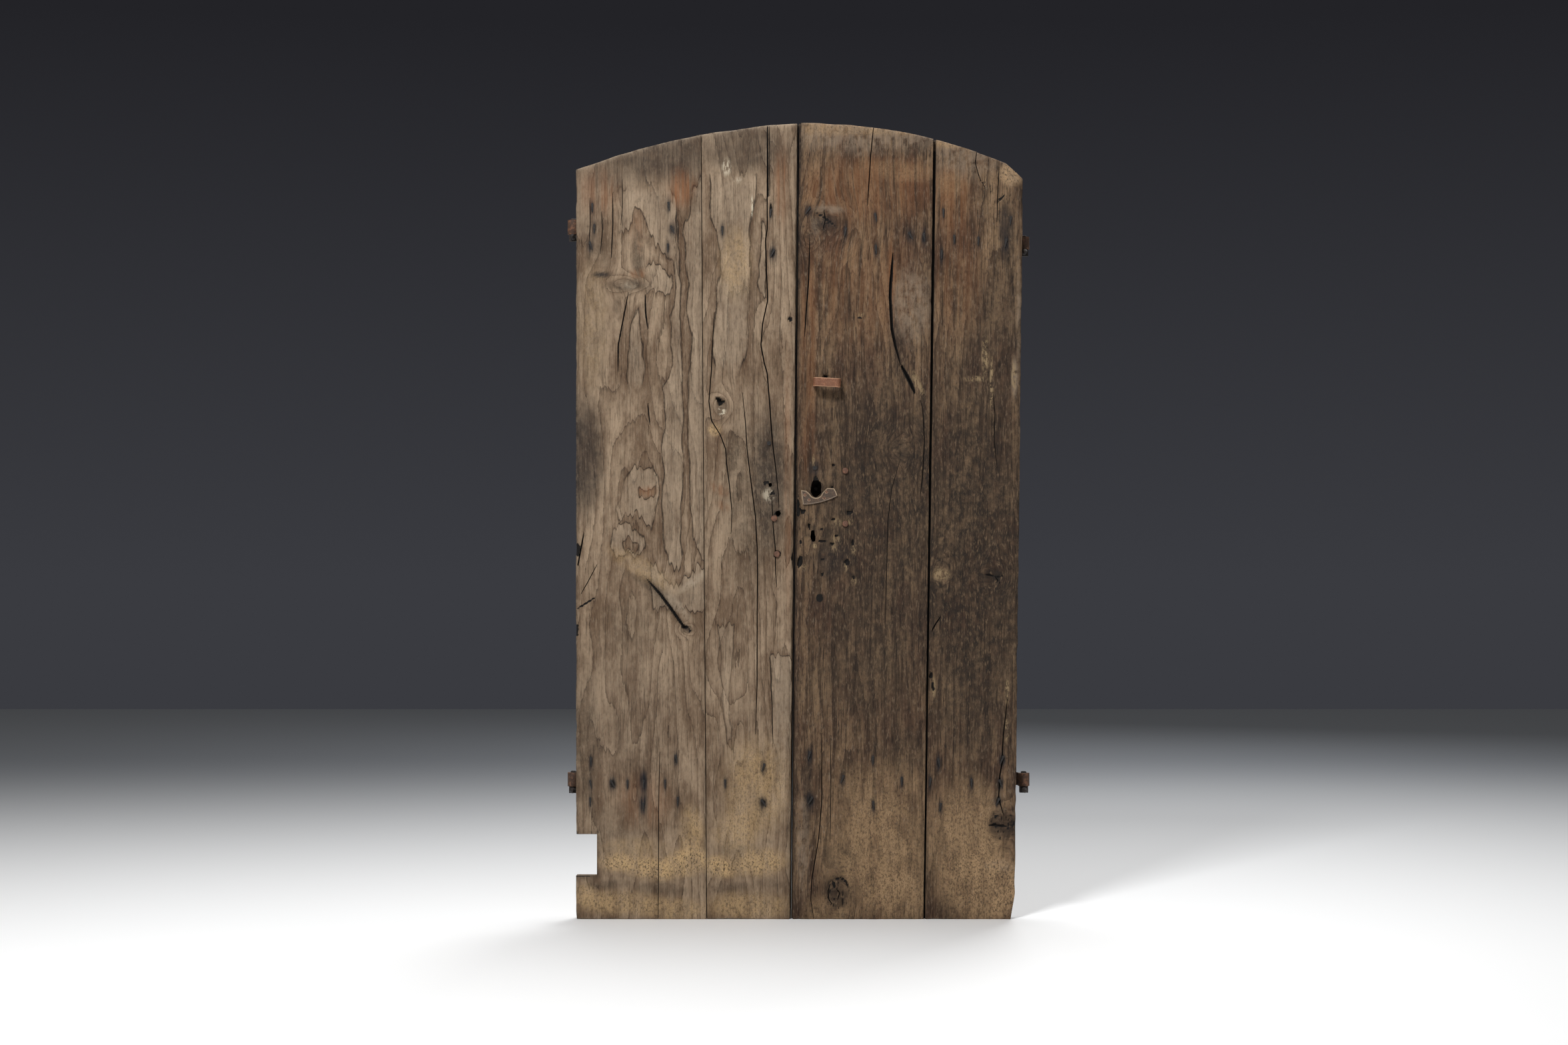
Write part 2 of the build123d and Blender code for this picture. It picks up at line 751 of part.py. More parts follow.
def keyhole_plate():
    """The lower half of the keyhole's iron plate, broken across."""
    def at(share):
        return (plate_x + share[0] * plate_width, plate_z + share[1] * plate_height)

    foot = ThreePointArc(*[at(share) for share in plate_foot_arc_shares])
    bite = ThreePointArc(*[at(share) for share in plate_keyhole_arc_shares])
    broken = [at(plate_foot_arc_shares[-1])]
    broken += [at(share) for share in plate_broken_end_shares]
    broken.append(at(plate_keyhole_arc_shares[0]))
    worn = [at(plate_keyhole_arc_shares[-1])]
    worn += [at(share) for share in plate_worn_end_shares]
    worn.append(at(plate_foot_arc_shares[0]))
    outline = make_face([foot, Polyline(*broken), bite, Polyline(*worn)])
    radius = plate_nail_radius + plate_nail_clearance
    holes = [rod(*place, radius, face - plate_thickness - cut_overrun, back) for place in plate_nail_places]
    return slab(outline, face - plate_thickness, face) - holes


def plate_nails():
    """The small nails that still hold the keyhole plate."""
    seat = face - plate_thickness
    nails = []
    for place in plate_nail_places:
        head = rod(*place, plate_nail_head_radius, seat - plate_nail_head_height, seat)
        nails.append(head + rod(*place, plate_nail_radius, seat, face + plate_nail_length))
    return Compound(children=nails)


def leaf_nails(prefix, places_of, seat):
    """All the nails of one kind in one leaf, as separate solids."""
    nails = []
    for side in sides:
        if side.startswith(prefix):
            nails += [nail(*place, seat) for place in places_of(side)]
    return Compound(children=nails)


nodes = {
    "left_outer_plank": left_outer_plank(),
    "left_inner_plank": left_inner_plank(),
    "right_inner_plank": right_inner_plank(),
    "right_outer_plank": right_outer_plank(),
}
for side in sides:
    nodes[side + "_batten"] = batten(side)
    nodes[side + "_hinge_strap"] = hinge_strap(side)
    nodes[side + "_pintle"] = pintle(side)
for prefix in ("left", "right"):
    nodes[prefix + "_batten_nails"] = leaf_nails(prefix, batten_nail_places, batten_back)
    nodes[prefix + "_strap_nails"] = leaf_nails(prefix, strap_nail_places, strap_back)
nodes["left_stray_nail"] = stray_nail(*left_stray_place)
nodes["right_stray_nail"] = stray_nail(*right_stray_place)
nodes["lock_case"] = lock_case()
nodes["lock_bolt"] = lock_bolt()
nodes["bolt_guides"] = bolt_guides()
nodes["key_post"] = key_post()
nodes["bolt_spring"] = bolt_spring()
nodes["lock_studs"] = Compound(children=[stud(*place, case_back) for place in lock_stud_places])
nodes["lock_keeper"] = lock_keeper()
nodes["keeper_studs"] = Compound(children=[stud(*place, back + keeper_thickness) for place in keeper_studs])
nodes["keyhole_plate"] = keyhole_plate()
nodes["plate_nails"] = plate_nails()
nodes["pull_handle"] = pull_solid(0)

os.makedirs("parts", exist_ok=True)
for name, solid in nodes.items():
    export_step(solid, f"parts/{name}.step")
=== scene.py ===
"""Looks of a weathered double plank door under a low arch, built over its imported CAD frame."""

import json
import logging
import math
from dataclasses import dataclass, field
from enum import IntEnum
from typing import Any, Iterable, Optional

import bmesh
import bpy
import numpy as np
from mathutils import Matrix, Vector


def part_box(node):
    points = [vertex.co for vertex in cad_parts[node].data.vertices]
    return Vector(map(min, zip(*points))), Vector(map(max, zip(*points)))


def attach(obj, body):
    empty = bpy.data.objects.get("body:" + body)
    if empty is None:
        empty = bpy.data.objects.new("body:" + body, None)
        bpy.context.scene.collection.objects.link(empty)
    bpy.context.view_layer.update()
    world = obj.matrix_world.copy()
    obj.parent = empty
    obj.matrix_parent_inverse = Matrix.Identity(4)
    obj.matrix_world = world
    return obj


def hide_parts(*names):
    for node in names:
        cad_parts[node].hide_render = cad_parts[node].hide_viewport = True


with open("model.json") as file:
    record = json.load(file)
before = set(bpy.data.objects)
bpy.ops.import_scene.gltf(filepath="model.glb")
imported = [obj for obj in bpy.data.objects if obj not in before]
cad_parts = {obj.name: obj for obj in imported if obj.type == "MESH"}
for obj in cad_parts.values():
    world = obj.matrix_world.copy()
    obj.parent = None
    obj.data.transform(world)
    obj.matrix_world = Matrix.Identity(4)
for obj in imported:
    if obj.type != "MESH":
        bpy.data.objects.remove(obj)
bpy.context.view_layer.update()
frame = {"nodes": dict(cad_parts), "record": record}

LOG = logging.getLogger("door")
Array = np.ndarray
Point = tuple[float, float]
Line = tuple[float, float]

# Lengths are in millimetres and become metres where a mesh or a lamp is placed.
MM = 0.001
DOOR_HEIGHT = 1900.0
FACE = -21.0
PLANK_THICKNESS = 36.0
LAP_DEPTH = 16.0
LAP_SLOPE = 0.5
NO_ISLAND = -60.0
MERGE_M = 1e-6
FLAT_ANGLE = math.radians(1.0)
BEVEL_ANGLE = math.radians(35.0)
SHARP_ANGLE = math.radians(42.0)

# Sockets of a colour Mix node, which have no names of their own
MIX_A = 6
MIX_B = 7
MIX_OUT = 2


class Tone(IntEnum):
    """What a patch lays on the wood, as channels of two colour attributes."""

    WARM = 0
    # PALE also carries a painted highlight along the lit top edge of each plank
    PALE = 1
    SOOT = 2
    DUST = 3
    IRON = 4
    SCUFF = 5
    # DARK is painted shade in cracks, pits, hole edges and the seams between planks, a painted shadow under a
    # staple, and dark marks at the nails
    DARK = 6
    FADE = 7


# Each colour attribute holds four tones, the fourth in its alpha
TONE_ATTRIBUTES = (("weather", Tone.WARM), ("damage", Tone.IRON))


def linear(code: str) -> tuple[float, float, float, float]:
    """Turns an sRGB hex colour into linear red, green, blue and alpha.

    Args:
        code: Six hex digits after a hash sign.

    Returns:
        The colour as Blender's sockets take it.
    """
    parts = [int(code[i:i + 2], 16) / 255 for i in (1, 3, 5)]
    curve = [c / 12.92 if c <= 0.04045 else ((c + 0.055) / 1.055) ** 2.4 for c in parts]
    return (curve[0], curve[1], curve[2], 1.0)


def soft_step(value: Array, low: float, high: float) -> Array:
    """Rises smoothly from 0 at low to 1 at high."""
    share = np.clip((value - low) / (high - low), 0.0, 1.0)
    return share * share * (3.0 - 2.0 * share)


def ripple(across: Array, along: Array, width: float, length: float, seed: int) -> Array:
    """Smooth repeatable noise over a board.

    Args:
        across: Places across the grain.
        along: Places along the grain.
        width: Size of one noise cell across the grain.
        length: Size of one noise cell along the grain.
        seed: Which noise.

    Returns:
        Noise from 0 to 1 at each place.
    """
    cells = 257
    table = np.random.default_rng(seed).random((cells, cells))
    a, b = across / width, along / length
    a0, b0 = np.floor(a).astype(int), np.floor(b).astype(int)
    fa, fb = soft_step(a - a0, 0.0, 1.0), soft_step(b - b0, 0.0, 1.0)
    near = table[a0 % cells, b0 % cells] * (1 - fb) + table[a0 % cells, (b0 + 1) % cells] * fb
    far = table[(a0 + 1) % cells, b0 % cells] * (1 - fb) + table[(a0 + 1) % cells, (b0 + 1) % cells] * fb
    return near * (1 - fa) + far * fa


def inside_distance(points: tuple[Point, ...], x: Array, z: Array) -> Array:
    """Distance to a closed outline, positive inside it.

    Args:
        points: Corners of the outline.
        x: Places across.
        z: Heights.

    Returns:
        Signed distances in millimetres.
    """
    nearest = np.full(x.shape, 1e9)
    inside = np.zeros(x.shape, bool)
    for (ax, az), (bx, bz) in zip(points, points[1:] + points[:1]):
        dx, dz = bx - ax, bz - az
        share = np.clip(((x - ax) * dx + (z - az) * dz) / (dx * dx + dz * dz + 1e-9), 0.0, 1.0)
        nearest = np.minimum(nearest, np.hypot(x - ax - share * dx, z - az - share * dz))
        crosses = (az > z) != (bz > z)
        inside ^= crosses & (x < ax + (z - az) * dx / (dz if dz else 1e-9))
    return np.where(inside, nearest, -nearest)


def path_distance(points: tuple[Point, ...], x: Array, z: Array) -> tuple[Array, Array]:
    """Distance to an open line of points, and how far along it the nearest place is.

    Args:
        points: The line's points.
        x: Places across.
        z: Heights.

    Returns:
        Distances in millimetres, and shares of the line from 0 to 1.
    """
    nearest = np.full(x.shape, 1e9)
    along = np.zeros(x.shape)
    runs = len(points) - 1
    for index, ((ax, az), (bx, bz)) in enumerate(zip(points, points[1:])):
        dx, dz = bx - ax, bz - az
        share = np.clip(((x - ax) * dx + (z - az) * dz) / (dx * dx + dz * dz), 0.0, 1.0)
        distance = np.hypot(x - ax - share * dx, z - az - share * dz)
        along = np.where(distance < nearest, (index + share) / runs, along)
        nearest = np.minimum(nearest, distance)
    return nearest, along


def line_at(line: Line, z: Array) -> Array:
    """Place of a leaning line at a height."""
    return line[0] + (line[1] - line[0]) * z / DOOR_HEIGHT


@dataclass(frozen=True)
class Oval:
    """A place on a board's face with its half sizes."""

    x: float
    z: float
    half_width: float
    half_height: float

    def reach(self, x: Array, z: Array, turn: float = 0.0, margin: float = 0.0) -> Array:
        """How far places lie from the middle, as shares of the half sizes.

        Args:
            x: Places across.
            z: Heights.
            turn: Degrees that the oval is turned by.
            margin: Length added to both half sizes.

        Returns:
            Shares, which are 1 on the oval's edge.
        """
        c, s = math.cos(math.radians(turn)), math.sin(math.radians(turn))
        u = ((x - self.x) * c + (z - self.z) * s) / (self.half_width + margin)
        v = ((z - self.z) * c - (x - self.x) * s) / (self.half_height + margin)
        return np.hypot(u, v)


@dataclass(frozen=True)
class Patch(Oval):
    """A soft-edged patch that a tone is laid on."""

    amount: float
    turn: float = 0.0

    def cover(self, x: Array, z: Array) -> Array:
        """How much of the tone lies at each place."""
        return self.amount * soft_step(1.5 - self.reach(x, z, self.turn), 0.0, 1.0)


@dataclass(frozen=True)
class Hollow(Oval):
    """A pit or gash sunk into the face."""

    depth: float
    turn: float = 0.0


@dataclass(frozen=True)
class Knot(Oval):
    """A knot that the grain bends around, with a crumbled heart."""

    crumble: float
    dark: float


@dataclass(frozen=True)
class Opening(Oval):
    """A hole right through a board: a slot with round or square ends."""

    square: bool = False
    ragged: float = 0.0

    def distance(self, x: Array, z: Array) -> Array:
        """Signed distance to the hole's edge.

        Args:
            x: Places across.
            z: Heights.

        Returns:
            Distances in millimetres, negative in the hole.
        """
        if self.square:
            u, v = np.abs(x - self.x) - self.half_width, np.abs(z - self.z) - self.half_height
            outside = np.hypot(np.maximum(u, 0.0), np.maximum(v, 0.0))
            return outside + np.minimum(np.maximum(u, v), 0.0)
        reach = self.half_height - self.half_width
        rise = np.clip(z - self.z, -reach, reach)
        torn = self.ragged * (ripple(x, z, 8.0, 8.0, 3) - 0.5)
        return np.hypot(x - self.x, z - self.z - rise) - self.half_width + torn


@dataclass(frozen=True)
class Crack:
    """An open crack along a line of points, widest in its middle."""

    points: tuple[Point, ...]
    width: float
    depth: float


@dataclass(frozen=True)
class Ridge:
    """Wood that stands a little proud along a line of points."""

    points: tuple[Point, ...]
    half_width: float
    height: float


@dataclass(frozen=True)
class Tide:
    """An island of pale wood in the figure, with a ragged brown tide line round it."""

    outline: tuple[Point, ...]
    holes: tuple[tuple[Point, ...], ...] = ()

    def distance(self, x: Array, z: Array) -> Array:
        """Signed distance to the island's edge.

        Args:
            x: Places across.
            z: Heights.

        Returns:
            Distances in millimetres, positive inside.
        """
        reach = inside_distance(self.outline, x, z)
        for hole in self.holes:
            reach = np.minimum(reach, -inside_distance(hole, x, z))
        return reach


@dataclass(frozen=True)
class Figure:
    """How the growth rings run through a plank's face."""

    pith_x: float
    pith_lean: float
    ring_width: float
    ring_rise: float
    wander: float
    seed: int

    def rings(self, x: Array, z: Array) -> Array:
        """Counts the rings crossed from the pith outwards and up the plank.

        Args:
            x: Places across.
            z: Heights.

        Returns:
            Ring counts.
        """
        across = (x - self.pith_x - self.pith_lean * z / DOOR_HEIGHT) / self.ring_width
        drift = ripple(x, z, 70.0, 330.0, self.seed) + 0.5 * ripple(x, z, 28.0, 150.0, self.seed + 1)
        return np.sqrt(1.0 + across * across) + z / self.ring_rise + self.wander * drift


@dataclass(frozen=True)
class Arch:
    """The arc that a leaf's top is cut to."""

    crown_x: float
    crown_z: float
    radius: float

    def height(self, x: Array) -> Array:
        """Height of the arc over a place."""
        return self.crown_z - self.radius + np.sqrt(self.radius ** 2 - (x - self.crown_x) ** 2)


@dataclass(frozen=True)
class Gate:
    """Lets a colour through by a pattern: base at the low value, rising smoothly to top at the high one."""

    pattern: str
    low: float
    high: float
    top: float = 1.0
    base: float = 0.0


@dataclass(frozen=True)
class Layer:
    """A colour laid over those before it, by its gates and by the plain amount of a pattern or tone."""

    name: str
    colour: str
    gates: tuple[Gate, ...]
    amount: str = ""


@dataclass(frozen=True)
class WoodFinish:
    """Bare old oak, its colours and how strongly its figure shows."""

    name: str
    pale: str
    mid: str
    brown: str
    dark: str
    warm: str
    grey: str
    soot: str
    dust: str
    scuff: str
    iron: str = "#15161b"
    # Near black: the painted shade in cracks, pits, hole edges and seams
    crack: str = "#100c09"
    ring_strength: float = 0.5
    grain_strength: float = 0.5
    speck_strength: float = 0.3
    cloud_strength: float = 0.5
    mottle_strength: float = 0.4
    streak_strength: float = 0.4
    line_strength: float = 0.3

    def layers(self) -> tuple[Layer, ...]:
        """Lists the colours over the pale wood, from its figure up to the painted shade in open cracks.

        Returns:
            The layers in the order in which they are laid.
        """
        grain, speck = self.grain_strength, self.speck_strength
        return (
            Layer("growth", self.mid, (Gate("blotch", 0.35, 0.68),)),
            Layer("clouds", self.brown, (Gate("cloud", 0.5, 0.7, self.cloud_strength),)),
            Layer("late wood", self.brown, (Gate("ring", 0.35, 0.98, self.ring_strength),)),
            Layer("ring line", self.dark, (Gate("ring", 0.9, 1.0, self.line_strength),)),
            # Pale islands have a brown edge that fades outwards and a thin dark line, and lose both in places
            Layer("brown edge", self.brown, (
                Gate("shore", -17.0, -0.5, 0.6), Gate("shore", -0.4, 0.4, 0.0, 1.0),
            ), "shown"),
            Layer("pale island", self.grey, (Gate("shore", -0.4, 6.0, 0.28),), "shown"),
            Layer("tide line", self.dark, (Gate("shore gap", 2.6, 0.4, 0.85),), "shown"),
            # Fine grain, broad streaks and the colour of weather
            Layer("pores", self.dark, (Gate("fine", 0.5, 0.72, grain),)),
            Layer("mottling", self.soot, (Gate("mottle", 0.5, 0.72, self.mottle_strength),)),
            Layer("fibres", self.pale, (Gate("fine", 0.46, 0.26, 0.5 * grain),)),
            Layer("streaks", self.brown, (Gate("streak", 0.48, 0.72, self.streak_strength),)),
            Layer("dark flecks", self.dark, (Gate("fleck", 0.48, 0.8, 0.7 * speck),)),
            Layer("grey flecks", self.grey, (Gate("fleck", 0.48, 0.25, 0.65 * speck),)),
            Layer("warm wood", self.warm, (Gate("streak", 0.75, 0.3),), "WARM"),
            # This layer also paints the highlight along the top edge, which stands for light from above
            Layer("pale wood", self.grey, (Gate("crumb", 0.3, 0.6),), "PALE"),
            Layer("soot", self.soot, (Gate("dirty", 1.15, 0.72, 1.0, 0.3),), "SOOT"),
            Layer("rubbed fibres", self.pale, (Gate("fleck", 0.5, 0.27, 0.55),), "SOOT"),
            Layer("dust", self.dust, (
                Gate("speck", 0.34, 0.58, 1.0, 0.4), Gate("cloud", 0.34, 0.58, 1.0, 0.45),
            ), "DUST"),
            Layer("dust pits", self.soot, (Gate("grit", 0.5, 0.64, 0.75),), "DUST"),
            Layer("specks", self.dark, (Gate("speck", 0.58, 0.76, 0.55 * speck),)),
            # Iron stain, torn fibres, and painted shade in open cracks, pits and hole edges
            Layer("iron stain", self.iron, (Gate("fine", 0.25, 0.6, 1.0, 0.55),), "IRON"),
            Layer("scuff", self.scuff, (Gate("fleck", 0.44, 0.53), Gate("crumb", 0.36, 0.5)), "SCUFF"),
            Layer("crack", self.crack, (Gate("broken", 0.5, 0.82),)),
        )


# Oak planks left bare in sun and rain: silvery brown and dull, with crisp tide lines and open grain
LEFT_OAK = WoodFinish(
    name="weathered_grey_oak", pale="#99846d", mid="#6c5845", brown="#4e3826", dark="#1e150d",
    warm="#7d5336", grey="#9d8d79", soot="#2c241b", dust="#b89a70", scuff="#c9bda6",
    ring_strength=0.42, grain_strength=0.48, speck_strength=0.42, cloud_strength=0.42, mottle_strength=0.26,
    streak_strength=0.3, line_strength=0.5,
)
# Oak planks under years of dirt: dark brown and dull, with soot in the grain and fibres rubbed paler
RIGHT_OAK = WoodFinish(
    name="dirty_brown_oak", pale="#7c644b", mid="#4e3829", brown="#2f2015", dark="#110b07",
    warm="#6f482b", grey="#877664", soot="#1f1914", dust="#a88a67", scuff="#8f7a5c",
    ring_strength=0.6, grain_strength=0.85, speck_strength=0.7, cloud_strength=0.72, mottle_strength=0.6,
    streak_strength=0.75,
)
# Sawn oak kept from the rain: an even dull brown with straight grain
BATTEN_OAK = WoodFinish(
    name="sawn_batten_oak", pale="#86705a", mid="#735d48", brown="#5a4531", dark="#33281e",
    warm="#83582f", grey="#8b7f70", soot="#3d342b", dust="#98784f", scuff="#c2b295",
    ring_strength=0.3, grain_strength=0.6, speck_strength=0.35,
)


@dataclass(frozen=True)
class IronFinish:
    """Old wrought iron: a forged skin, rust over it, and metal rubbed bright, whose colour also paints
    highlights on worn edges.
    """

    name: str
    skin: str
    rust: str
    bright: str
    rust_share: float
    spot: float
    roughness: float
    metallic: float


# Strap iron rusted all over: brown, rough and matt
HINGE_IRON = IronFinish("rusted_wrought_iron", "#402c20", "#6d4a35", "#8a6a52", 0.5, 9.0, 0.72, 0.2)
# Forged iron that keeps its scale: nearly black and matt
PINTLE_IRON = IronFinish("black_forged_iron", "#1f1814", "#33251d", "#4d4038", 0.35, 9.0, 0.75, 0.2)
# Hand-made nails gone black in the oak: dull black with a few paler grains
NAIL_IRON = IronFinish("blackened_nail_iron", "#1d1a19", "#2e2621", "#5d554e", 0.3, 5.0, 0.7, 0.15)
# Sheet iron of a lock: dark with some sheen, and rust in spots
LOCK_IRON = IronFinish("dark_sheet_iron", "#2d2622", "#53392a", "#74675c", 0.4, 14.0, 0.62, 0.45)
# Bolt heads rusted red-brown and handled: warm and half matt
STUD_IRON = IronFinish("brown_bolt_iron", "#583b2c", "#744f3b", "#93705a", 0.5, 9.0, 0.55, 0.25)
# Strap iron rubbed by hands: copper-brown with paler edges, rubbed and painted as highlights
PULL_IRON = IronFinish("copper_brown_pull_iron", "#6f4731", "#8f5f43", "#bd9273", 0.5, 16.0, 0.55, 0.2)
# Thin sheet iron with its turned edge painted bright: rubbed, and a painted highlight on the upper rim
PLATE_IRON = IronFinish("rubbed_plate_iron", "#45372d", "#5e4735", "#a08b73", 0.45, 12.0, 0.55, 0.3)

# Noise on the wood: size of a cell across the grain and along it, and how many finer layers it has.
# Oak's pores are about 0.3 mm wide and wouldn't show from the camera, so the fine grain is drawn 2.4 mm wide,
# and specks, flecks and grit are drawn 3 to 6 mm wide for the same reason.
WOOD_NOISE: dict[str, tuple[float, float, float]] = {
    "fine": (2.4, 55.0, 3.0),
    "streak": (8.0, 190.0, 2.0),
    "spike": (4.5, 38.0, 2.0),
    "blotch": (60.0, 130.0, 4.0),
    "speck": (6.0, 8.0, 4.0),
    "crumb": (13.0, 17.0, 4.0),
    "fleck": (4.2, 15.0, 3.0),
    "cloud": (26.0, 62.0, 5.0),
    "mottle": (6.5, 12.0, 4.0),
    "grit": (3.2, 5.5, 3.0),
}

# Patterns worked out from others: name, operation and terms
WOOD_SUMS: tuple[tuple, ...] = (
    ("ring count", "MULTIPLY_ADD", "spike", 0.3, "rings"),
    ("ring", "FRACT", "ring count"),
    ("ragged", "MULTIPLY_ADD", "spike", 5.0, -2.5),
    ("shore", "ADD", "tide", "ragged"),
    ("shore gap", "ABSOLUTE", "shore"),
    ("dirty", "MULTIPLY_ADD", "fleck", 0.8, "crumb"),
    # broken: where the painted shade of cracks, pits and seams shows, roughened by specks
    ("broken", "MULTIPLY_ADD", "speck", 0.5, "DARK"),
    ("roughness", "MULTIPLY_ADD", "fine", 0.25, 0.66),
)

# How far each pattern lifts or sinks the surface over the fine grain, as shares of the bump's height
WOOD_RELIEF = (("speck", 0.5), ("scuff", 0.8), ("mottle", -1.4))

# Rust blooms have each finish's own size. Grit is finer than the camera shows, so it is drawn 1.6 mm wide.
IRON_GRIT = 1.6


def add_node(
    tree: bpy.types.NodeTree,
    kind: str,
    inputs: Optional[dict] = None,
    **settings: Any,
) -> bpy.types.Node:
    """Adds a node, gives it its settings, and fills or links its inputs.

    Args:
        tree: The node tree that takes the node.
        kind: The node's type.
        inputs: A value, or another node's output, for each input by name or number.
        **settings: The node's own properties.

    Returns:
        The new node.
    """
    node = tree.nodes.new(kind)
    for name, value in settings.items():
        setattr(node, name, value)
    for key, value in (inputs or {}).items():
        if isinstance(value, bpy.types.NodeSocket):
            tree.links.new(value, node.inputs[key])
        else:
            node.inputs[key].default_value = value
    return node


def empty_material(name: str) -> bpy.types.Material:
    """Makes a material whose node tree is empty."""
    material = bpy.data.materials.new(name)
    material.use_nodes = True
    material.node_tree.nodes.clear()
    return material


class WoodMaterial:
    """Node material of one oak finish, read from the boards' own attributes."""

    def __init__(self, finish: WoodFinish) -> None:
        """Builds the node tree.

        Args:
            finish: The oak's colours and strengths.
        """
        self.finish = finish
        self.material = empty_material(finish.name)
        self.tree = self.material.node_tree
        self.found: dict[Any, bpy.types.NodeSocket] = {}
        self.read_attributes()
        self.make_patterns()
        self.make_surface(self.lay_colours())

    def read_attributes(self) -> None:
        """Reads the rings, the islands and the tones of the board."""
        for name in ("rings", "tide"):
            self.found[name] = add_node(self.tree, "ShaderNodeAttribute", attribute_name=name).outputs["Fac"]
        for name, first in TONE_ATTRIBUTES:
            read = add_node(self.tree, "ShaderNodeAttribute", attribute_name=name)
            parts = add_node(self.tree, "ShaderNodeSeparateColor", {0: read.outputs["Color"]})
            for offset, socket in enumerate((*parts.outputs, read.outputs["Alpha"])):
                self.found[Tone(first + offset).name] = socket

    def make_patterns(self) -> None:
        """Makes the noises along the grain and the patterns worked out from them."""
        tree, found = self.tree, self.found
        grain = add_node(tree, "ShaderNodeAttribute", attribute_name="grain").outputs["Vector"]
        for name, (across, along, detail) in WOOD_NOISE.items():
            cells = {"Vector": grain, "Scale": (1.0 / across, 1.0 / across, 1.0 / along)}
            scaled = add_node(tree, "ShaderNodeMapping", cells).outputs["Vector"]
            noise = {"Vector": scaled, "Scale": 1.0, "Detail": detail, "Roughness": 0.6}
            found[name] = add_node(tree, "ShaderNodeTexNoise", noise).outputs["Fac"]
        for name, operation, *terms in WOOD_SUMS:
            inputs = {number: found.get(term, term) for number, term in enumerate(terms)}
            found[name] = add_node(tree, "ShaderNodeMath", inputs, operation=operation).outputs[0]
        lasting = {"Value": found["crumb"], "From Min": 0.12, "From Max": 0.52}
        kept = add_node(tree, "ShaderNodeMapRange", lasting, interpolation_type="SMOOTHSTEP")
        shown = {0: kept.outputs["Result"], 1: found["FADE"]}
        found["shown"] = add_node(tree, "ShaderNodeMath", shown, operation="SUBTRACT").outputs[0]

    def lay_colours(self) -> bpy.types.NodeSocket:
        """Lays each colour over those before it, and keeps each layer's share under its name.

        Returns:
            The finished colour.
        """
        tree, found = self.tree, self.found
        colour: Any = linear(self.finish.pale)
        for layer in self.finish.layers():
            share = found.get(layer.amount)
            for gate in layer.gates:
                limits = {
                    "Value": found[gate.pattern], "From Min": gate.low, "From Max": gate.high,
                    "To Min": gate.base, "To Max": gate.top,
                }
                opened = add_node(tree, "ShaderNodeMapRange", limits, interpolation_type="SMOOTHSTEP")
                passed = opened.outputs["Result"]
                if share is not None:
                    both = {0: share, 1: passed}
                    passed = add_node(tree, "ShaderNodeMath", both, operation="MULTIPLY").outputs[0]
                share = passed
            mix = {0: share, MIX_A: colour, MIX_B: linear(layer.colour)}
            colour = add_node(tree, "ShaderNodeMix", mix, data_type="RGBA").outputs[MIX_OUT]
            found[layer.name] = share
        return colour

    def make_surface(self, colour: bpy.types.NodeSocket) -> None:
        """Joins colour, roughness and relief in the shader.

        Args:
            colour: The finished colour.
        """
        tree, height = self.tree, self.found["fine"]
        for pattern, rise in WOOD_RELIEF:
            terms = {0: self.found[pattern], 1: rise, 2: height}
            height = add_node(tree, "ShaderNodeMath", terms, operation="MULTIPLY_ADD").outputs[0]
        relief = add_node(tree, "ShaderNodeBump", {"Height": height, "Strength": 0.9, "Distance": 1.4 * MM})
        surface = add_node(tree, "ShaderNodeBsdfPrincipled", {
            "Base Color": colour,
            "Roughness": self.found["roughness"],
            "Normal": relief.outputs["Normal"],
            "Specular IOR Level": 0.25,
        })
        add_node(tree, "ShaderNodeOutputMaterial", {"Surface": surface.outputs["BSDF"]})


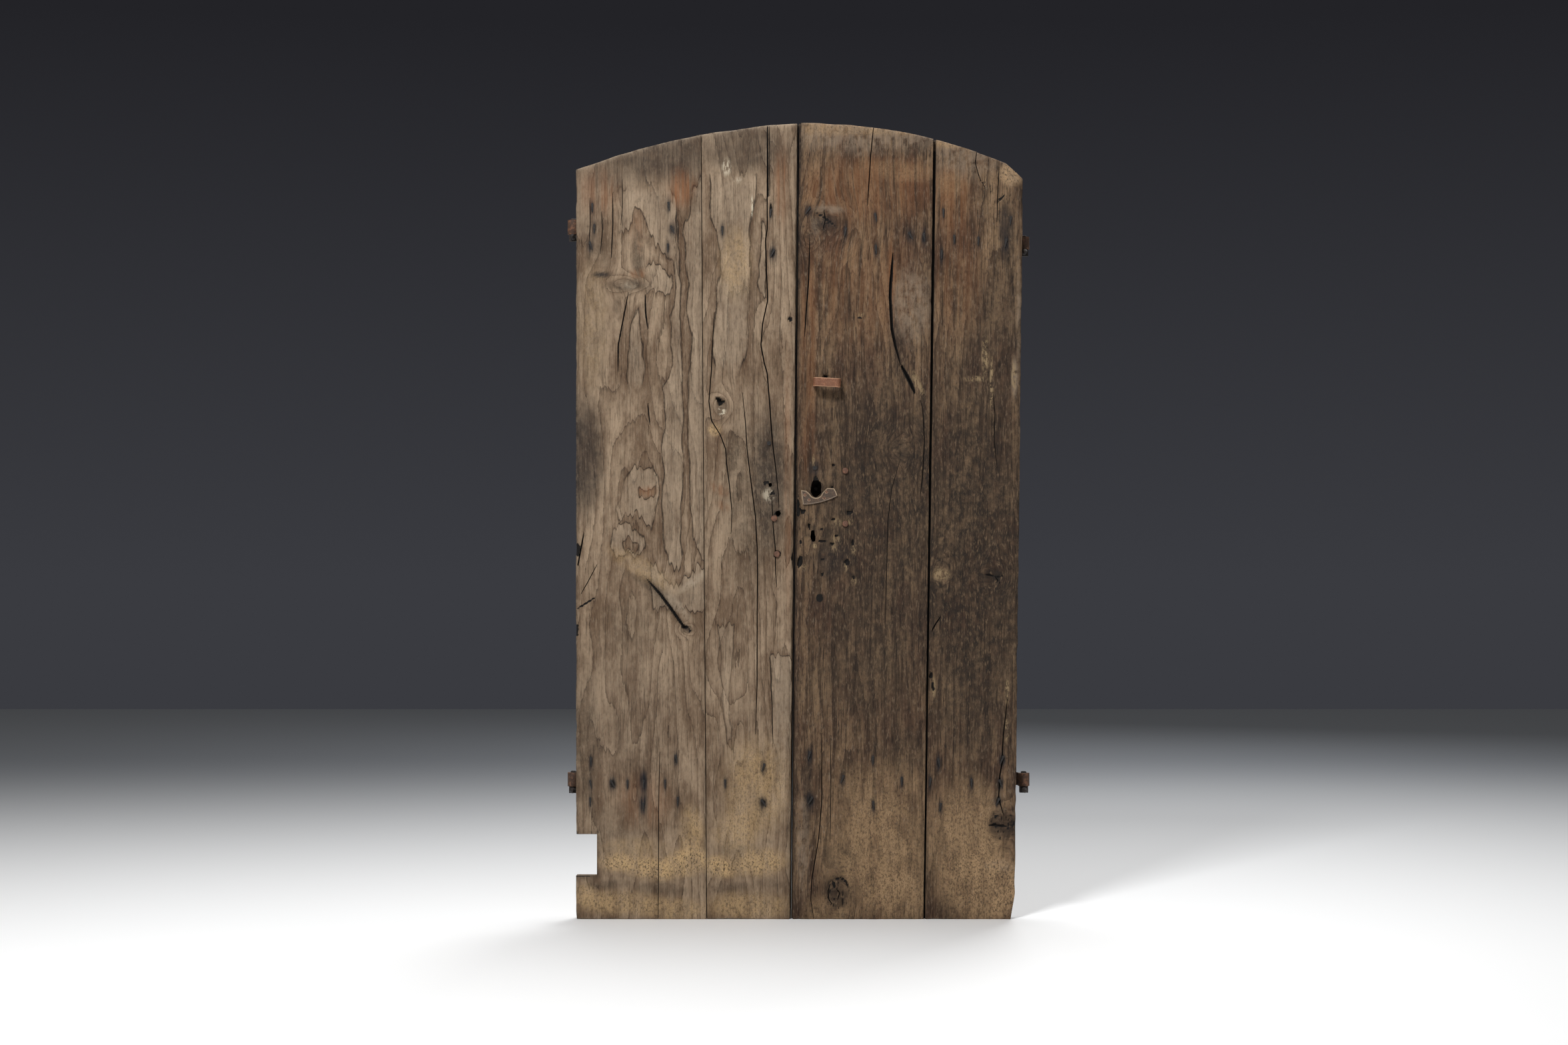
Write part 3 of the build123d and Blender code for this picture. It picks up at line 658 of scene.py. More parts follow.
class IronMaterial:
    """Node material of one iron finish, read from object coordinates."""

    def __init__(self, finish: IronFinish) -> None:
        """Builds the node tree.

        Args:
            finish: The iron's colours and gloss.
        """
        self.material = empty_material(finish.name)
        tree = self.material.node_tree
        place = add_node(tree, "ShaderNodeTexCoord").outputs["Object"]
        noises = []
        for size, detail in ((finish.spot, 4.0), (IRON_GRIT, 3.0)):
            cells = {"Vector": place, "Scale": [1.0 / (size * MM)] * 3}
            scaled = add_node(tree, "ShaderNodeMapping", cells).outputs["Vector"]
            noise = {"Vector": scaled, "Scale": 1.0, "Detail": detail, "Roughness": 0.6}
            noises.append(add_node(tree, "ShaderNodeTexNoise", noise).outputs["Fac"])
        bloom, grit = noises
        low = 0.62 - 0.3 * finish.rust_share
        spread = {"Value": bloom, "From Min": low, "From Max": low + 0.2}
        rusty = add_node(tree, "ShaderNodeMapRange", spread, interpolation_type="SMOOTHSTEP")
        rubbed = {"Value": grit, "From Min": 0.5, "From Max": 0.9, "To Max": 0.5}
        grains = add_node(tree, "ShaderNodeMapRange", rubbed).outputs["Result"]
        # Faces that the forgings paint paler: rubbed wear, and a painted highlight on edges and on the
        # plate's upper rim
        edges = add_node(tree, "ShaderNodeAttribute", attribute_name="rub_and_highlight").outputs["Fac"]
        shine = add_node(tree, "ShaderNodeMath", {0: grains, 1: edges}, operation="MAXIMUM")
        colour: Any = linear(finish.skin)
        for share, code in ((rusty, finish.rust), (shine, finish.bright)):
            mix = {0: share.outputs[0], MIX_A: colour, MIX_B: linear(code)}
            colour = add_node(tree, "ShaderNodeMix", mix, data_type="RGBA").outputs[MIX_OUT]
        height = add_node(tree, "ShaderNodeMath", {0: bloom, 1: grit}, operation="ADD").outputs[0]
        relief = add_node(tree, "ShaderNodeBump", {"Height": height, "Strength": 0.8, "Distance": 0.8 * MM})
        surface = add_node(tree, "ShaderNodeBsdfPrincipled", {
            "Base Color": colour,
            "Roughness": finish.roughness,
            "Metallic": finish.metallic,
            "Normal": relief.outputs["Normal"],
        })
        add_node(tree, "ShaderNodeOutputMaterial", {"Surface": surface.outputs["BSDF"]})


def merged_copy(node: str) -> bmesh.types.BMesh:
    """Copies a CAD node's mesh and merges its loose triangles."""
    mesh = bmesh.new()
    mesh.from_mesh(frame["nodes"][node].data)
    bmesh.ops.remove_doubles(mesh, verts=mesh.verts[:], dist=MERGE_M)
    return mesh


def make_object(name: str, mesh: bmesh.types.BMesh, material: bpy.types.Material) -> bpy.types.Object:
    """Turns a bmesh into an object with one material.

    Args:
        name: The object's name.
        mesh: The finished bmesh, which is freed.
        material: The material that it gets.

    Returns:
        The new object, linked to the scene.
    """
    data = bpy.data.meshes.new(name)
    mesh.to_mesh(data)
    mesh.free()
    data.materials.append(material)
    piece = bpy.data.objects.new(name, data)
    bpy.context.scene.collection.objects.link(piece)
    return piece


def stand_for(piece: bpy.types.Object, node: str) -> None:
    """Puts a piece in the place of a CAD node, on the node's body.

    Args:
        piece: The new piece.
        node: The CAD node that it replaces.
    """
    record = frame["record"]
    bodies = record["behaviour"]["bodies"]
    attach(piece, next(body for body, nodes in bodies.items() if node in nodes))
    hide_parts(node)
    LOG.info("%s: %d faces", piece.name, len(piece.data.polygons))


def places_of(data: bpy.types.Mesh) -> Array:
    """Reads a mesh's vertices in millimetres."""
    places = np.zeros(len(data.vertices) * 3, np.float32)
    data.vertices.foreach_get("co", places)
    return places.reshape(-1, 3) / MM


def nail_tips(node: str) -> list[tuple[float, float, float, float]]:
    """Finds where a node's nails show on the face.

    Args:
        node: A CAD node of nails or bolts.

    Returns:
        Middle and half sizes of each solid's part in front of the face, in millimetres.
    """
    mesh = merged_copy(node)
    waiting = set(mesh.verts)
    found = []
    while waiting:
        group, edge = [], [waiting.pop()]
        while edge:
            vertex = edge.pop()
            group.append(vertex.co.copy())
            for link in vertex.link_edges:
                other = link.other_vert(vertex)
                if other in waiting:
                    waiting.remove(other)
                    edge.append(other)
        front = np.array([c for c in group if c.y < (FACE - 0.5) * MM]) / MM
        if len(front):
            low, high = front.min(0), front.max(0)
            middle, half = (low + high) / 2, (high - low) / 2
            found.append((middle[0], middle[2], half[0], half[2]))
    mesh.free()
    return sorted(found)


@dataclass
class Board:
    """A wooden board as a fine grid with relief, extruded to its thickness."""

    node: str
    finish: WoodFinish
    seed: int

    def finish_piece(self, mesh: bmesh.types.BMesh, material: WoodMaterial) -> bpy.types.Object:
        """Turns a bmesh into a piece that stands for the CAD node.

        Args:
            mesh: The finished bmesh, which is freed.
            material: The wood that it gets.

        Returns:
            The new object.
        """
        bmesh.ops.recalc_face_normals(mesh, faces=mesh.faces[:])
        piece = make_object(self.node + "_wood", mesh, material.material)
        data = piece.data
        data.polygons.foreach_set("use_smooth", np.ones(len(data.polygons), bool))
        data.set_sharp_from_angle(angle=SHARP_ANGLE)
        stand_for(piece, self.node)
        return piece

    def store(self, data: bpy.types.Mesh, grain: Array, rings: Array, tide: Array, tones: Array) -> None:
        """Writes what the wood material reads.

        Args:
            data: The piece's mesh.
            grain: Place across, into and along the grain for each vertex.
            rings: Growth rings counted at each vertex.
            tide: Distance to the nearest pale island's edge.
            tones: Amount of each tone at each vertex.
        """
        vectors = data.attributes.new("grain", "FLOAT_VECTOR", "POINT")
        vectors.data.foreach_set("vector", grain.astype(np.float32).ravel())
        for name, values in (("rings", rings), ("tide", tide)):
            data.attributes.new(name, "FLOAT", "POINT").data.foreach_set("value", values.astype(np.float32))
        for name, first in TONE_ATTRIBUTES:
            layer = data.attributes.new(name, "FLOAT_COLOR", "POINT")
            layer.data.foreach_set("color", tones[first:first + 4].T.astype(np.float32).ravel())


@dataclass
class Plank(Board):
    """A wide upright plank of a leaf, with its lapped edges, figure, cracks and weather."""

    face_lines: tuple[Line, Line]
    lap_lines: tuple[Line, Line]
    back_lines: tuple[Line, Line]
    arch: Arch
    figure: Figure
    top_chip: Optional[tuple[Point, Point]] = None
    foot_chip: Optional[tuple[Point, Point]] = None
    worn_near: float = 1.0
    worn_far: float = 1.0
    free_near: bool = False
    free_far: bool = False
    nails: tuple[str, ...] = ()
    stain: float = 1.0
    unevenness: float = 1.0
    step_across: float = 2.8
    step_along: float = 4.8
    cracks: tuple[Crack, ...] = ()
    hollows: tuple[Hollow, ...] = ()
    ridges: tuple[Ridge, ...] = ()
    knots: tuple[Knot, ...] = ()
    openings: tuple[Opening, ...] = ()
    tides: tuple[Tide, ...] = ()
    patches: dict[Tone, tuple[tuple[float, ...], ...]] = field(default_factory=dict)

    def lay_out(self) -> None:
        """Works out where each point of the grid lies on the face."""
        near, far = self.face_lines
        self.columns = round((far[0] - near[0]) / self.step_across)
        self.rows = round(DOOR_HEIGHT / self.step_along)
        u, v = np.meshgrid(np.linspace(0, 1, self.columns + 1), np.linspace(0, 1, self.rows + 1))
        top = np.full(u.shape, DOOR_HEIGHT - 50.0)
        for _ in range(3):
            top = self.top_height(self.across(u, top))
        self.z = v * top
        self.x = self.across(u, self.z)
        self.top = top
        self.depth = np.zeros(u.shape)
        self.links: list[tuple[int, int]] = []
        self.hearts = np.zeros(u.shape)
        self.tones = np.zeros((len(Tone),) + u.shape)
        self.from_near = self.x - line_at(near, self.z)
        self.from_far = line_at(far, self.z) - self.x

    def across(self, u: Array, z: Array) -> Array:
        """Finds places across the plank, with its broken foot corner.

        Args:
            u: Shares of the plank's width.
            z: Heights.

        Returns:
            Places across.
        """
        near, far = line_at(self.face_lines[0], z), line_at(self.face_lines[1], z)
        if self.foot_chip:
            (ax, az), (bx, bz) = self.foot_chip
            far = np.minimum(far, ax + (z - az) * (bx - ax) / (bz - az))
        return near + u * (far - near)

    def top_height(self, x: Array) -> Array:
        """Finds the plank's top under the arch and its broken corner.

        Args:
            x: Places across.

        Returns:
            Heights.
        """
        top = self.arch.height(x)
        if self.top_chip:
            (ax, az), (bx, bz) = self.top_chip
            top = np.minimum(top, az + (x - ax) * (bz - az) / (bx - ax))
        return top

    def wear_edges(self) -> None:
        """Rounds and frays the plank's edges, and gives its face the unevenness of old planed wood."""
        x, z = self.x, self.z
        fray = ripple(x, z, 40.0, 22.0, self.seed) * ripple(x, z, 90.0, 75.0, self.seed + 1)
        for gap, worn, sign in ((self.from_near, self.worn_near, 1), (self.from_far, self.worn_far, -1)):
            self.depth += worn * (0.8 + 3.2 * fray) * np.exp(-gap / 2.4)
            self.x = self.x + sign * worn * 2.6 * fray * np.exp(-gap / 5.0)
        below = self.top - z
        self.depth += (3.2 + 3.0 * fray) * np.exp(-below / 2.5)
        self.z = self.z - 4.0 * fray * np.exp(-below / 8.0) + 2.0 * fray * np.exp(-z / 6.0)
        self.depth += (0.6 + 3.0 * fray) * np.exp(-z / 4.0)
        swell = ripple(x, z, 70.0, 260.0, self.seed + 2)
        ridges = ripple(x, z, 5.0, 110.0, self.seed + 3)
        dents = ripple(x, z, 14.0, 20.0, self.seed + 4)
        self.depth += 0.9 * swell + self.unevenness * (0.8 * ridges + 1.2 * soft_step(dents, 0.55, 0.95))

    def darken(self, tone: Tone, amount: Array) -> None:
        """Raises a tone to at least an amount."""
        self.tones[tone] = np.maximum(self.tones[tone], amount)

    def fit_openings(self) -> None:
        """Moves the points beside each hole onto its edge."""
        reach = 0.55 * math.hypot(self.step_across, self.step_along)
        probe = 0.1
        for hole in self.openings:
            x, z = self.x, self.z
            gap = hole.distance(x, z)
            slope_x = (hole.distance(x + probe, z) - hole.distance(x - probe, z)) / (2 * probe)
            slope_z = (hole.distance(x, z + probe) - hole.distance(x, z - probe)) / (2 * probe)
            size = np.maximum(np.hypot(slope_x, slope_z), 0.3)
            close = np.abs(gap) < reach
            self.x = np.where(close, x - gap * slope_x / size, x)
            self.z = np.where(close, z - gap * slope_z / size, z)
            # The wood round each hole is made darker, and its very edge gets painted shade
            self.darken(Tone.SOOT, soft_step(-gap, -16.0, 0.0) * 0.6)
            self.darken(Tone.DARK, soft_step(-gap, -2.0, 0.5) * 0.7)

    def open_cracks(self) -> None:
        """Cuts each crack as a narrow groove, with a row of points on its bottom."""
        for crack in self.cracks:
            places, heights = np.array(crack.points, float).T
            if np.ptp(heights) > 1.3 * np.ptp(places):
                self.open_steep_crack(crack, heights, places)
            else:
                gap, along = path_distance(crack.points, self.x, self.z)
                taper = np.sqrt(np.clip(4.0 * along * (1.0 - along) + 0.15, 0.0, 1.0))
                sunk = soft_step(-gap, -max(crack.width, 3.4), -0.4) * taper
                self.depth += crack.depth * sunk
                # Painted shade along the groove
                self.darken(Tone.DARK, sunk)

    def open_steep_crack(self, crack: Crack, heights: Array, places: Array) -> None:
        """Cuts a crack that runs along the grain.

        Args:
            crack: The crack.
            heights: Heights of its points.
            places: Places across of its points.
        """
        order = np.argsort(heights)
        low, high = heights.min(), heights.max()
        last = -1
        for row in range(self.rows + 1):
            z = self.z[row]
            column = int(np.argmin(np.abs(self.x[row] - np.interp(z, heights[order], places[order]))))
            height = z[column]
            if not low < height < high or not 2 <= column <= self.columns - 2:
                continue
            share = (height - low) / (high - low)
            taper = math.sqrt(min(1.0, 5.0 * share * (1.0 - share) + 0.1))
            middle = float(np.interp(height, heights[order], places[order]))
            half = 0.5 * crack.width * taper
            self.x[row, column] = middle
            self.x[row, column - 1] = max(middle - half - 0.5, self.x[row, column - 2] + 0.4)
            self.x[row, column + 1] = min(middle + half + 0.5, self.x[row, column + 2] - 0.4)
            self.depth[row, column] += crack.depth * taper
            # Painted shade on the crack's bottom and its lips
            self.tones[Tone.DARK, row, column] = min(1.0, 0.75 + 0.25 * taper)
            lips = self.tones[Tone.DARK, row, column - 1:column + 2]
            np.maximum(lips, taper * min(0.7, crack.width / 10.0), out=lips)
            this = row * (self.columns + 1) + column
            if last >= 0 and abs(this - last - self.columns - 1) == 1:
                self.links += [(last + side, this + side) for side in (-1, 0, 1)]
            last = this

    def sink_hollows(self) -> None:
        """Sinks pits and gashes, with a point of the grid on the bottom of each."""
        for hollow in self.hollows:
            spread = np.hypot((self.x - hollow.x) / self.step_across, (self.z - hollow.z) / self.step_along)
            row, column = np.unravel_index(int(np.argmin(spread)), spread.shape)
            if 0 < column < self.columns and spread[row, column] < 1.5:
                self.x[row, column], self.z[row, column] = hollow.x, hollow.z
            torn = 0.5 * ripple(self.x, self.z, 4.0, 6.0, self.seed + 9)
            reach = hollow.reach(self.x, self.z, hollow.turn, margin=1.6)
            bowl = soft_step(1.25 - reach - torn, 0.0, 0.7)
            self.depth += hollow.depth * bowl
            # Painted shade in each pit
            self.darken(Tone.DARK, 0.92 * soft_step(bowl, 0.15, 0.8))

    def raise_ridges(self) -> None:
        """Lifts the wood along each ridge."""
        for ridge in self.ridges:
            gap, along = path_distance(ridge.points, self.x, self.z)
            taper = np.clip(6.0 * along * (1.0 - along), 0.0, 1.0)
            self.depth -= ridge.height * taper * np.exp(-(gap / ridge.half_width) ** 2)

    def bend_grain(self) -> tuple[Array, Array]:
        """Bends the grain round the knots and crumbles their hearts.

        Returns:
            Places across the grain, and the growth rings.
        """
        across = self.from_near.copy()
        rings = self.figure.rings(self.x, self.z)
        for knot in self.knots:
            dx, dz = self.x - knot.x, self.z - knot.z
            u, v = dx / knot.half_width, dz / knot.half_height
            bulge = np.exp(-(v / 2.4) ** 2 - np.abs(u) / 2.6) * (1.0 - np.exp(-(u / 0.6) ** 2))
            across -= 0.8 * knot.half_width * np.sign(dx) * bulge
            around = knot.reach(self.x, self.z)
            rings += 3.0 * np.exp(-around * around / 2.2)
            heart = soft_step(1.3 - around, 0.0, 0.6)
            broken = ripple(self.x, self.z, 5.0, 6.5, self.seed + 11) ** 2
            self.depth += knot.crumble * heart * (0.25 + broken)
            self.darken(Tone.SOOT, 0.9 * knot.dark * heart)
            # Painted shade in the deepest pits of the crumbled heart, and a dark ring round the knot
            holes = soft_step(broken, 0.4, 0.75) * heart * knot.dark
            rim = 0.6 * knot.dark ** 2 * np.exp(-((around - 1.05) / 0.14) ** 2) * (0.4 + broken)
            self.darken(Tone.DARK, np.maximum(holes, rim))
            self.hearts = np.maximum(self.hearts, knot.dark * heart)
        return across, rings

    def nail_stains(self) -> list[tuple[Tone, Patch]]:
        """Lists the stains round the nails that come through this plank.

        Returns:
            Each stain with its tone.
        """
        stains = []
        near, far = self.face_lines
        for node in self.nails:
            for index, (x, z, half_x, half_z) in enumerate(nail_tips(node)):
                if line_at(near, z) < x < line_at(far, z):
                    strong = self.stain * (0.6 + 0.4 * ((index * 7) % 5) / 4)
                    stains += [
                        (Tone.IRON, Patch(x, z, half_x + 1.6, half_z + 4.0, strong)),
                        (Tone.IRON, Patch(x, z - 2.0, half_x + 3.0, half_z + 14.0, 0.45 * strong)),
                        (Tone.DARK, Patch(x, z, half_x + 0.6, half_z + 1.5, 0.6 * strong)),
                    ]
        return stains

    def paint(self) -> None:
        """Lays the patches, darkens the face along its side edges, lays the stains round the nails, and
        paints a highlight along the top edge.
        """
        marks = [(tone, Patch(*spot)) for tone, spots in self.patches.items() for spot in spots]
        for tone, mark in (*marks, *self.nail_stains()):
            layer = self.tones[tone]
            self.tones[tone] = layer + mark.cover(self.x, self.z) * (1.0 - layer)
        self.tones[Tone.DUST] *= 1.0 - self.hearts
        # Darker along the side edges of the face, the more so the more worn the edge
        edge_darkening = 0.55 * np.exp(-self.from_near / 5.0) * self.worn_near
        edge_darkening += 0.55 * np.exp(-self.from_far / 5.0) * self.worn_far
        self.tones[Tone.SOOT] = np.clip(self.tones[Tone.SOOT] + edge_darkening, 0.0, 1.0)
        # Painted highlight: the face pales towards its top edge, where the light from above falls
        self.darken(Tone.PALE, np.exp(-(self.top - self.z) / 4.0))

    def find_islands(self) -> Array:
        """Finds how far each point lies inside the pale islands, whose edges are ragged along the grain.

        Returns:
            Signed distances in millimetres.
        """
        tide = np.full(self.x.shape, NO_ISLAND)
        jag = 26.0 * (ripple(self.x, self.z, 5.5, 70.0, self.seed + 30) - 0.5)
        sway = 5.0 * (ripple(self.x, self.z, 30.0, 24.0, self.seed + 31) - 0.5)
        for island in self.tides:
            tide = np.maximum(tide, island.distance(self.x + sway, self.z + jag))
        return tide

    def build(self, material: WoodMaterial) -> bpy.types.Object:
        """Models the plank and dresses it.

        Args:
            material: The wood that it gets.

        Returns:
            The plank's object.
        """
        self.lay_out()
        self.wear_edges()
        self.fit_openings()
        plain_x, plain_z = self.x.copy(), self.z.copy()
        for column, free, line in ((0, self.free_near, 0), (-1, self.free_far, 1)):
            if not free:
                plain_x[:, column] = line_at(self.face_lines[line], plain_z[:, column])
        across, rings = self.bend_grain()
        self.raise_ridges()
        self.sink_hollows()
        self.open_cracks()
        self.paint()
        mesh = self.lay_grid()
        self.cut_openings(mesh)
        self.thicken(mesh, plain_x, plain_z)
        piece = self.finish_piece(mesh, material)
        self.write_attributes(piece.data, across, rings, self.find_islands())
        return piece

    def lay_grid(self) -> bmesh.types.BMesh:
        """Makes the face's grid, whose vertices keep the number of their cell.

        Returns:
            The face as a bmesh.
        """
        mesh = bmesh.new()
        bmesh.ops.create_grid(mesh, x_segments=self.columns, y_segments=self.rows, size=1.0)
        for name in ("cell", "stage"):
            mesh.verts.layers.int.new(name)
        cell = mesh.verts.layers.int["cell"]
        reach = max(v.co.x for v in mesh.verts)
        for vertex in mesh.verts:
            column = round((vertex.co.x / reach + 1.0) / 2.0 * self.columns)
            row = round((vertex.co.y / reach + 1.0) / 2.0 * self.rows)
            vertex[cell] = row * (self.columns + 1) + column
        self.place(mesh.verts, cell, self.x, FACE + self.depth, self.z)
        corners = {vertex[cell]: vertex for vertex in mesh.verts}
        for start, end in self.links:
            bmesh.ops.connect_verts(mesh, verts=[corners[start], corners[end]])
        return mesh

    def thicken(self, mesh: bmesh.types.BMesh, plain_x: Array, plain_z: Array) -> None:
        """Extrudes the face to the lap, across it and to the sawn back.

        Args:
            mesh: The face, which becomes the whole plank.
            plain_x: Places across of the grid without cracks and pits.
            plain_z: Heights of that grid.
        """
        cell, stage = mesh.verts.layers.int["cell"], mesh.verts.layers.int["stage"]
        dents = ripple(plain_x, plain_z, 9.0, 130.0, self.seed + 20)
        saw = 0.5 + 0.5 * np.sin(plain_z / 2.6 + 3.0 * ripple(plain_x, plain_z, 120.0, 400.0, self.seed + 21))
        rounded = np.exp(-self.from_near / 2.6) + np.exp(-self.from_far / 2.6)
        levels = (
            (self.face_lines, np.full(plain_x.shape, FACE + LAP_DEPTH)),
            (self.lap_lines, np.full(plain_x.shape, FACE + LAP_DEPTH + LAP_SLOPE)),
            (self.back_lines, FACE + PLANK_THICKNESS - 0.9 * dents - 0.35 * saw - 2.2 * rounded),
        )
        faces = mesh.faces[:]
        for number, (lines, y) in enumerate(levels, start=1):
            made = bmesh.ops.extrude_face_region(mesh, geom=faces)["geom"]
            if number > 1:
                bmesh.ops.delete(mesh, geom=faces, context="FACES")
            faces = [g for g in made if isinstance(g, bmesh.types.BMFace)]
            moved = [g for g in made if isinstance(g, bmesh.types.BMVert)]
            for vertex in moved:
                vertex[stage] = number
            self.place(moved, cell, self.shifted(plain_x, plain_z, lines), y, plain_z)

    def shifted(self, x: Array, z: Array, lines: tuple[Line, Line]) -> Array:
        """Moves the columns beside the edges so that a layer ends on its own lines.

        Args:
            x: Places across.
            z: Heights.
            lines: The layer's two edges.

        Returns:
            The moved places across.
        """
        near = line_at(lines[0], z) - line_at(self.face_lines[0], z)
        far = line_at(lines[1], z) - line_at(self.face_lines[1], z)
        return x + near * soft_step(-self.from_near, -60.0, 0.0) + far * soft_step(-self.from_far, -60.0, 0.0)

    def place(self, vertices: Iterable, cell: Any, x: Array, y: Array, z: Array) -> None:
        """Moves vertices to where their cell of the grid lies.

        Args:
            vertices: The vertices to move.
            cell: Layer with the number of each vertex's cell.
            x: Places across of the cells.
            y: Depths of the cells.
            z: Heights of the cells.
        """
        flat = np.stack([x.ravel(), y.ravel(), z.ravel()], axis=1) * MM
        for vertex in vertices:
            vertex.co = flat[vertex[cell]]

    def cut_openings(self, mesh: bmesh.types.BMesh) -> None:
        """Deletes the faces that lie in a hole.

        Args:
            mesh: The face.
        """
        faces = mesh.faces[:]
        middles = np.array([f.calc_center_median() for f in faces]) / MM
        gone = np.zeros(len(faces), bool)
        for hole in self.openings:
            gone |= hole.distance(middles[:, 0], middles[:, 2]) < 0.0
        bmesh.ops.delete(mesh, geom=[f for f, out in zip(faces, gone) if out], context="FACES")

    def write_attributes(self, data: bpy.types.Mesh, across: Array, rings: Array, tide: Array) -> None:
        """Gives each vertex its grain, rings, island distance and tones.

        Args:
            data: The plank's mesh.
            across: Places across the grain on the face.
            rings: Growth rings on the face.
            tide: Distance to the islands on the face.
        """
        count = len(data.vertices)
        cell, stage = np.zeros(count, np.int32), np.zeros(count, np.int32)
        data.attributes["cell"].data.foreach_get("value", cell)
        data.attributes["stage"].data.foreach_get("value", stage)
        places = places_of(data)
        x, z = places[:, 0], places[:, 2]
        front, edge = stage == 0, stage < 3
        grain = np.stack([across.ravel()[cell], places[:, 1], z], axis=1)
        ring = np.where(front, rings.ravel()[cell], self.figure.rings(x + 31.0, z + 217.0))
        top = self.top.ravel()[cell]
        seam = np.exp(-np.minimum(self.from_near, self.from_far) / 4.0).ravel()[cell]
        worn = np.where(self.from_near < self.from_far, self.worn_near, self.worn_far).ravel()[cell]
        tones = self.tones.reshape(len(Tone), -1)[:, cell]
        behind = np.zeros_like(tones)
        behind[Tone.SOOT] = np.where(edge, 0.5, np.clip(0.35 + 0.8 * seam, 0.0, 1.0))
        behind[Tone.IRON] = 0.2 * edge
        # Painted shade on the side walls of the lapped edges, which shows as dark seams between the planks
        behind[Tone.DARK] = 0.6 * (edge & (worn < 0.6) & (z < top - 25.0))
        behind[Tone.DUST] = 0.35 * soft_step(-z, -260.0, 0.0)
        # Painted highlight on the faces of the top edge
        behind[Tone.PALE] = 0.8 * soft_step(z - top, -12.0, -1.0)
        tides = np.where(front, tide.ravel()[cell], NO_ISLAND)
        self.store(data, grain, ring, tides, np.where(front, tones, behind))
        for name in ("cell", "stage"):
            data.attributes.remove(data.attributes[name])


@dataclass
class Batten(Board):
    """A batten across the back, sawn rough, with planed rear edges."""

    edge: float = 6.0
    step_along: float = 4.0
    step_across: float = 3.0

    def build(self, material: WoodMaterial) -> bpy.types.Object:
        """Models the batten on its node's box and dresses it.

        Args:
            material: The wood that it gets.

        Returns:
            The batten's object.
        """
        low, high = (np.array(corner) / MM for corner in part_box(self.node))
        size = high - low
        columns, rows = round(size[0] / self.step_along), round(size[2] / self.step_across)
        mesh = bmesh.new()
        bmesh.ops.create_grid(mesh, x_segments=columns, y_segments=rows, size=1.0)
        reach = max(v.co.x for v in mesh.verts)
        flat = np.array([v.co for v in mesh.verts]) / reach
        x = low[0] + (flat[:, 0] + 1.0) / 2.0 * size[0]
        z = low[2] + (flat[:, 1] + 1.0) / 2.0 * size[2]
        from_edge = np.minimum(z - low[2], high[2] - z)
        from_end = np.minimum(x - low[0], high[0] - x)
        worn = ripple(z, x, 30.0, 45.0, self.seed)
        depth = np.maximum(self.edge * (0.7 + 0.3 * worn) - from_edge, 0.0)
        depth += (0.6 + 2.0 * worn) * np.exp(-from_end / 3.0)
        saw = 0.5 + 0.5 * np.sin(x / 2.4 + 4.0 * ripple(z, x, 60.0, 300.0, self.seed + 1))
        depth += 0.35 * saw + 0.6 * ripple(z, x, 6.0, 120.0, self.seed + 2)
        for vertex, place in zip(mesh.verts, np.stack([x, high[1] - depth, z], axis=1) * MM):
            vertex.co = place
        made = bmesh.ops.extrude_face_region(mesh, geom=mesh.faces[:])["geom"]
        for vertex in (g for g in made if isinstance(g, bmesh.types.BMVert)):
            vertex.co.y = low[1] * MM
        piece = self.finish_piece(mesh, material)
        self.weather(piece.data)
        return piece

    def weather(self, data: bpy.types.Mesh) -> None:
        """Gives the batten its grain, rings and the rust stain round its strap.

        Args:
            data: The batten's mesh.
        """
        places = places_of(data)
        x, z = places[:, 0], places[:, 2]
        rings = 0.09 * z + 1.6 * ripple(z, x, 60.0, 400.0, self.seed + 3)
        tones = np.zeros((len(Tone), len(places)))
        strap_low, strap_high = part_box(self.node.replace("batten", "hinge_strap"))
        middle = (strap_low[2] + strap_high[2]) / 2 / MM
        near = soft_step(-np.abs(z - middle), -40.0, -8.0)
        tones[Tone.SOOT] = 0.3
        tones[Tone.IRON] = 0.35 * near
        tones[Tone.WARM] = 0.4 * near
        self.store(data, places[:, [2, 1, 0]], rings, np.full(len(places), NO_ISLAND), tones)


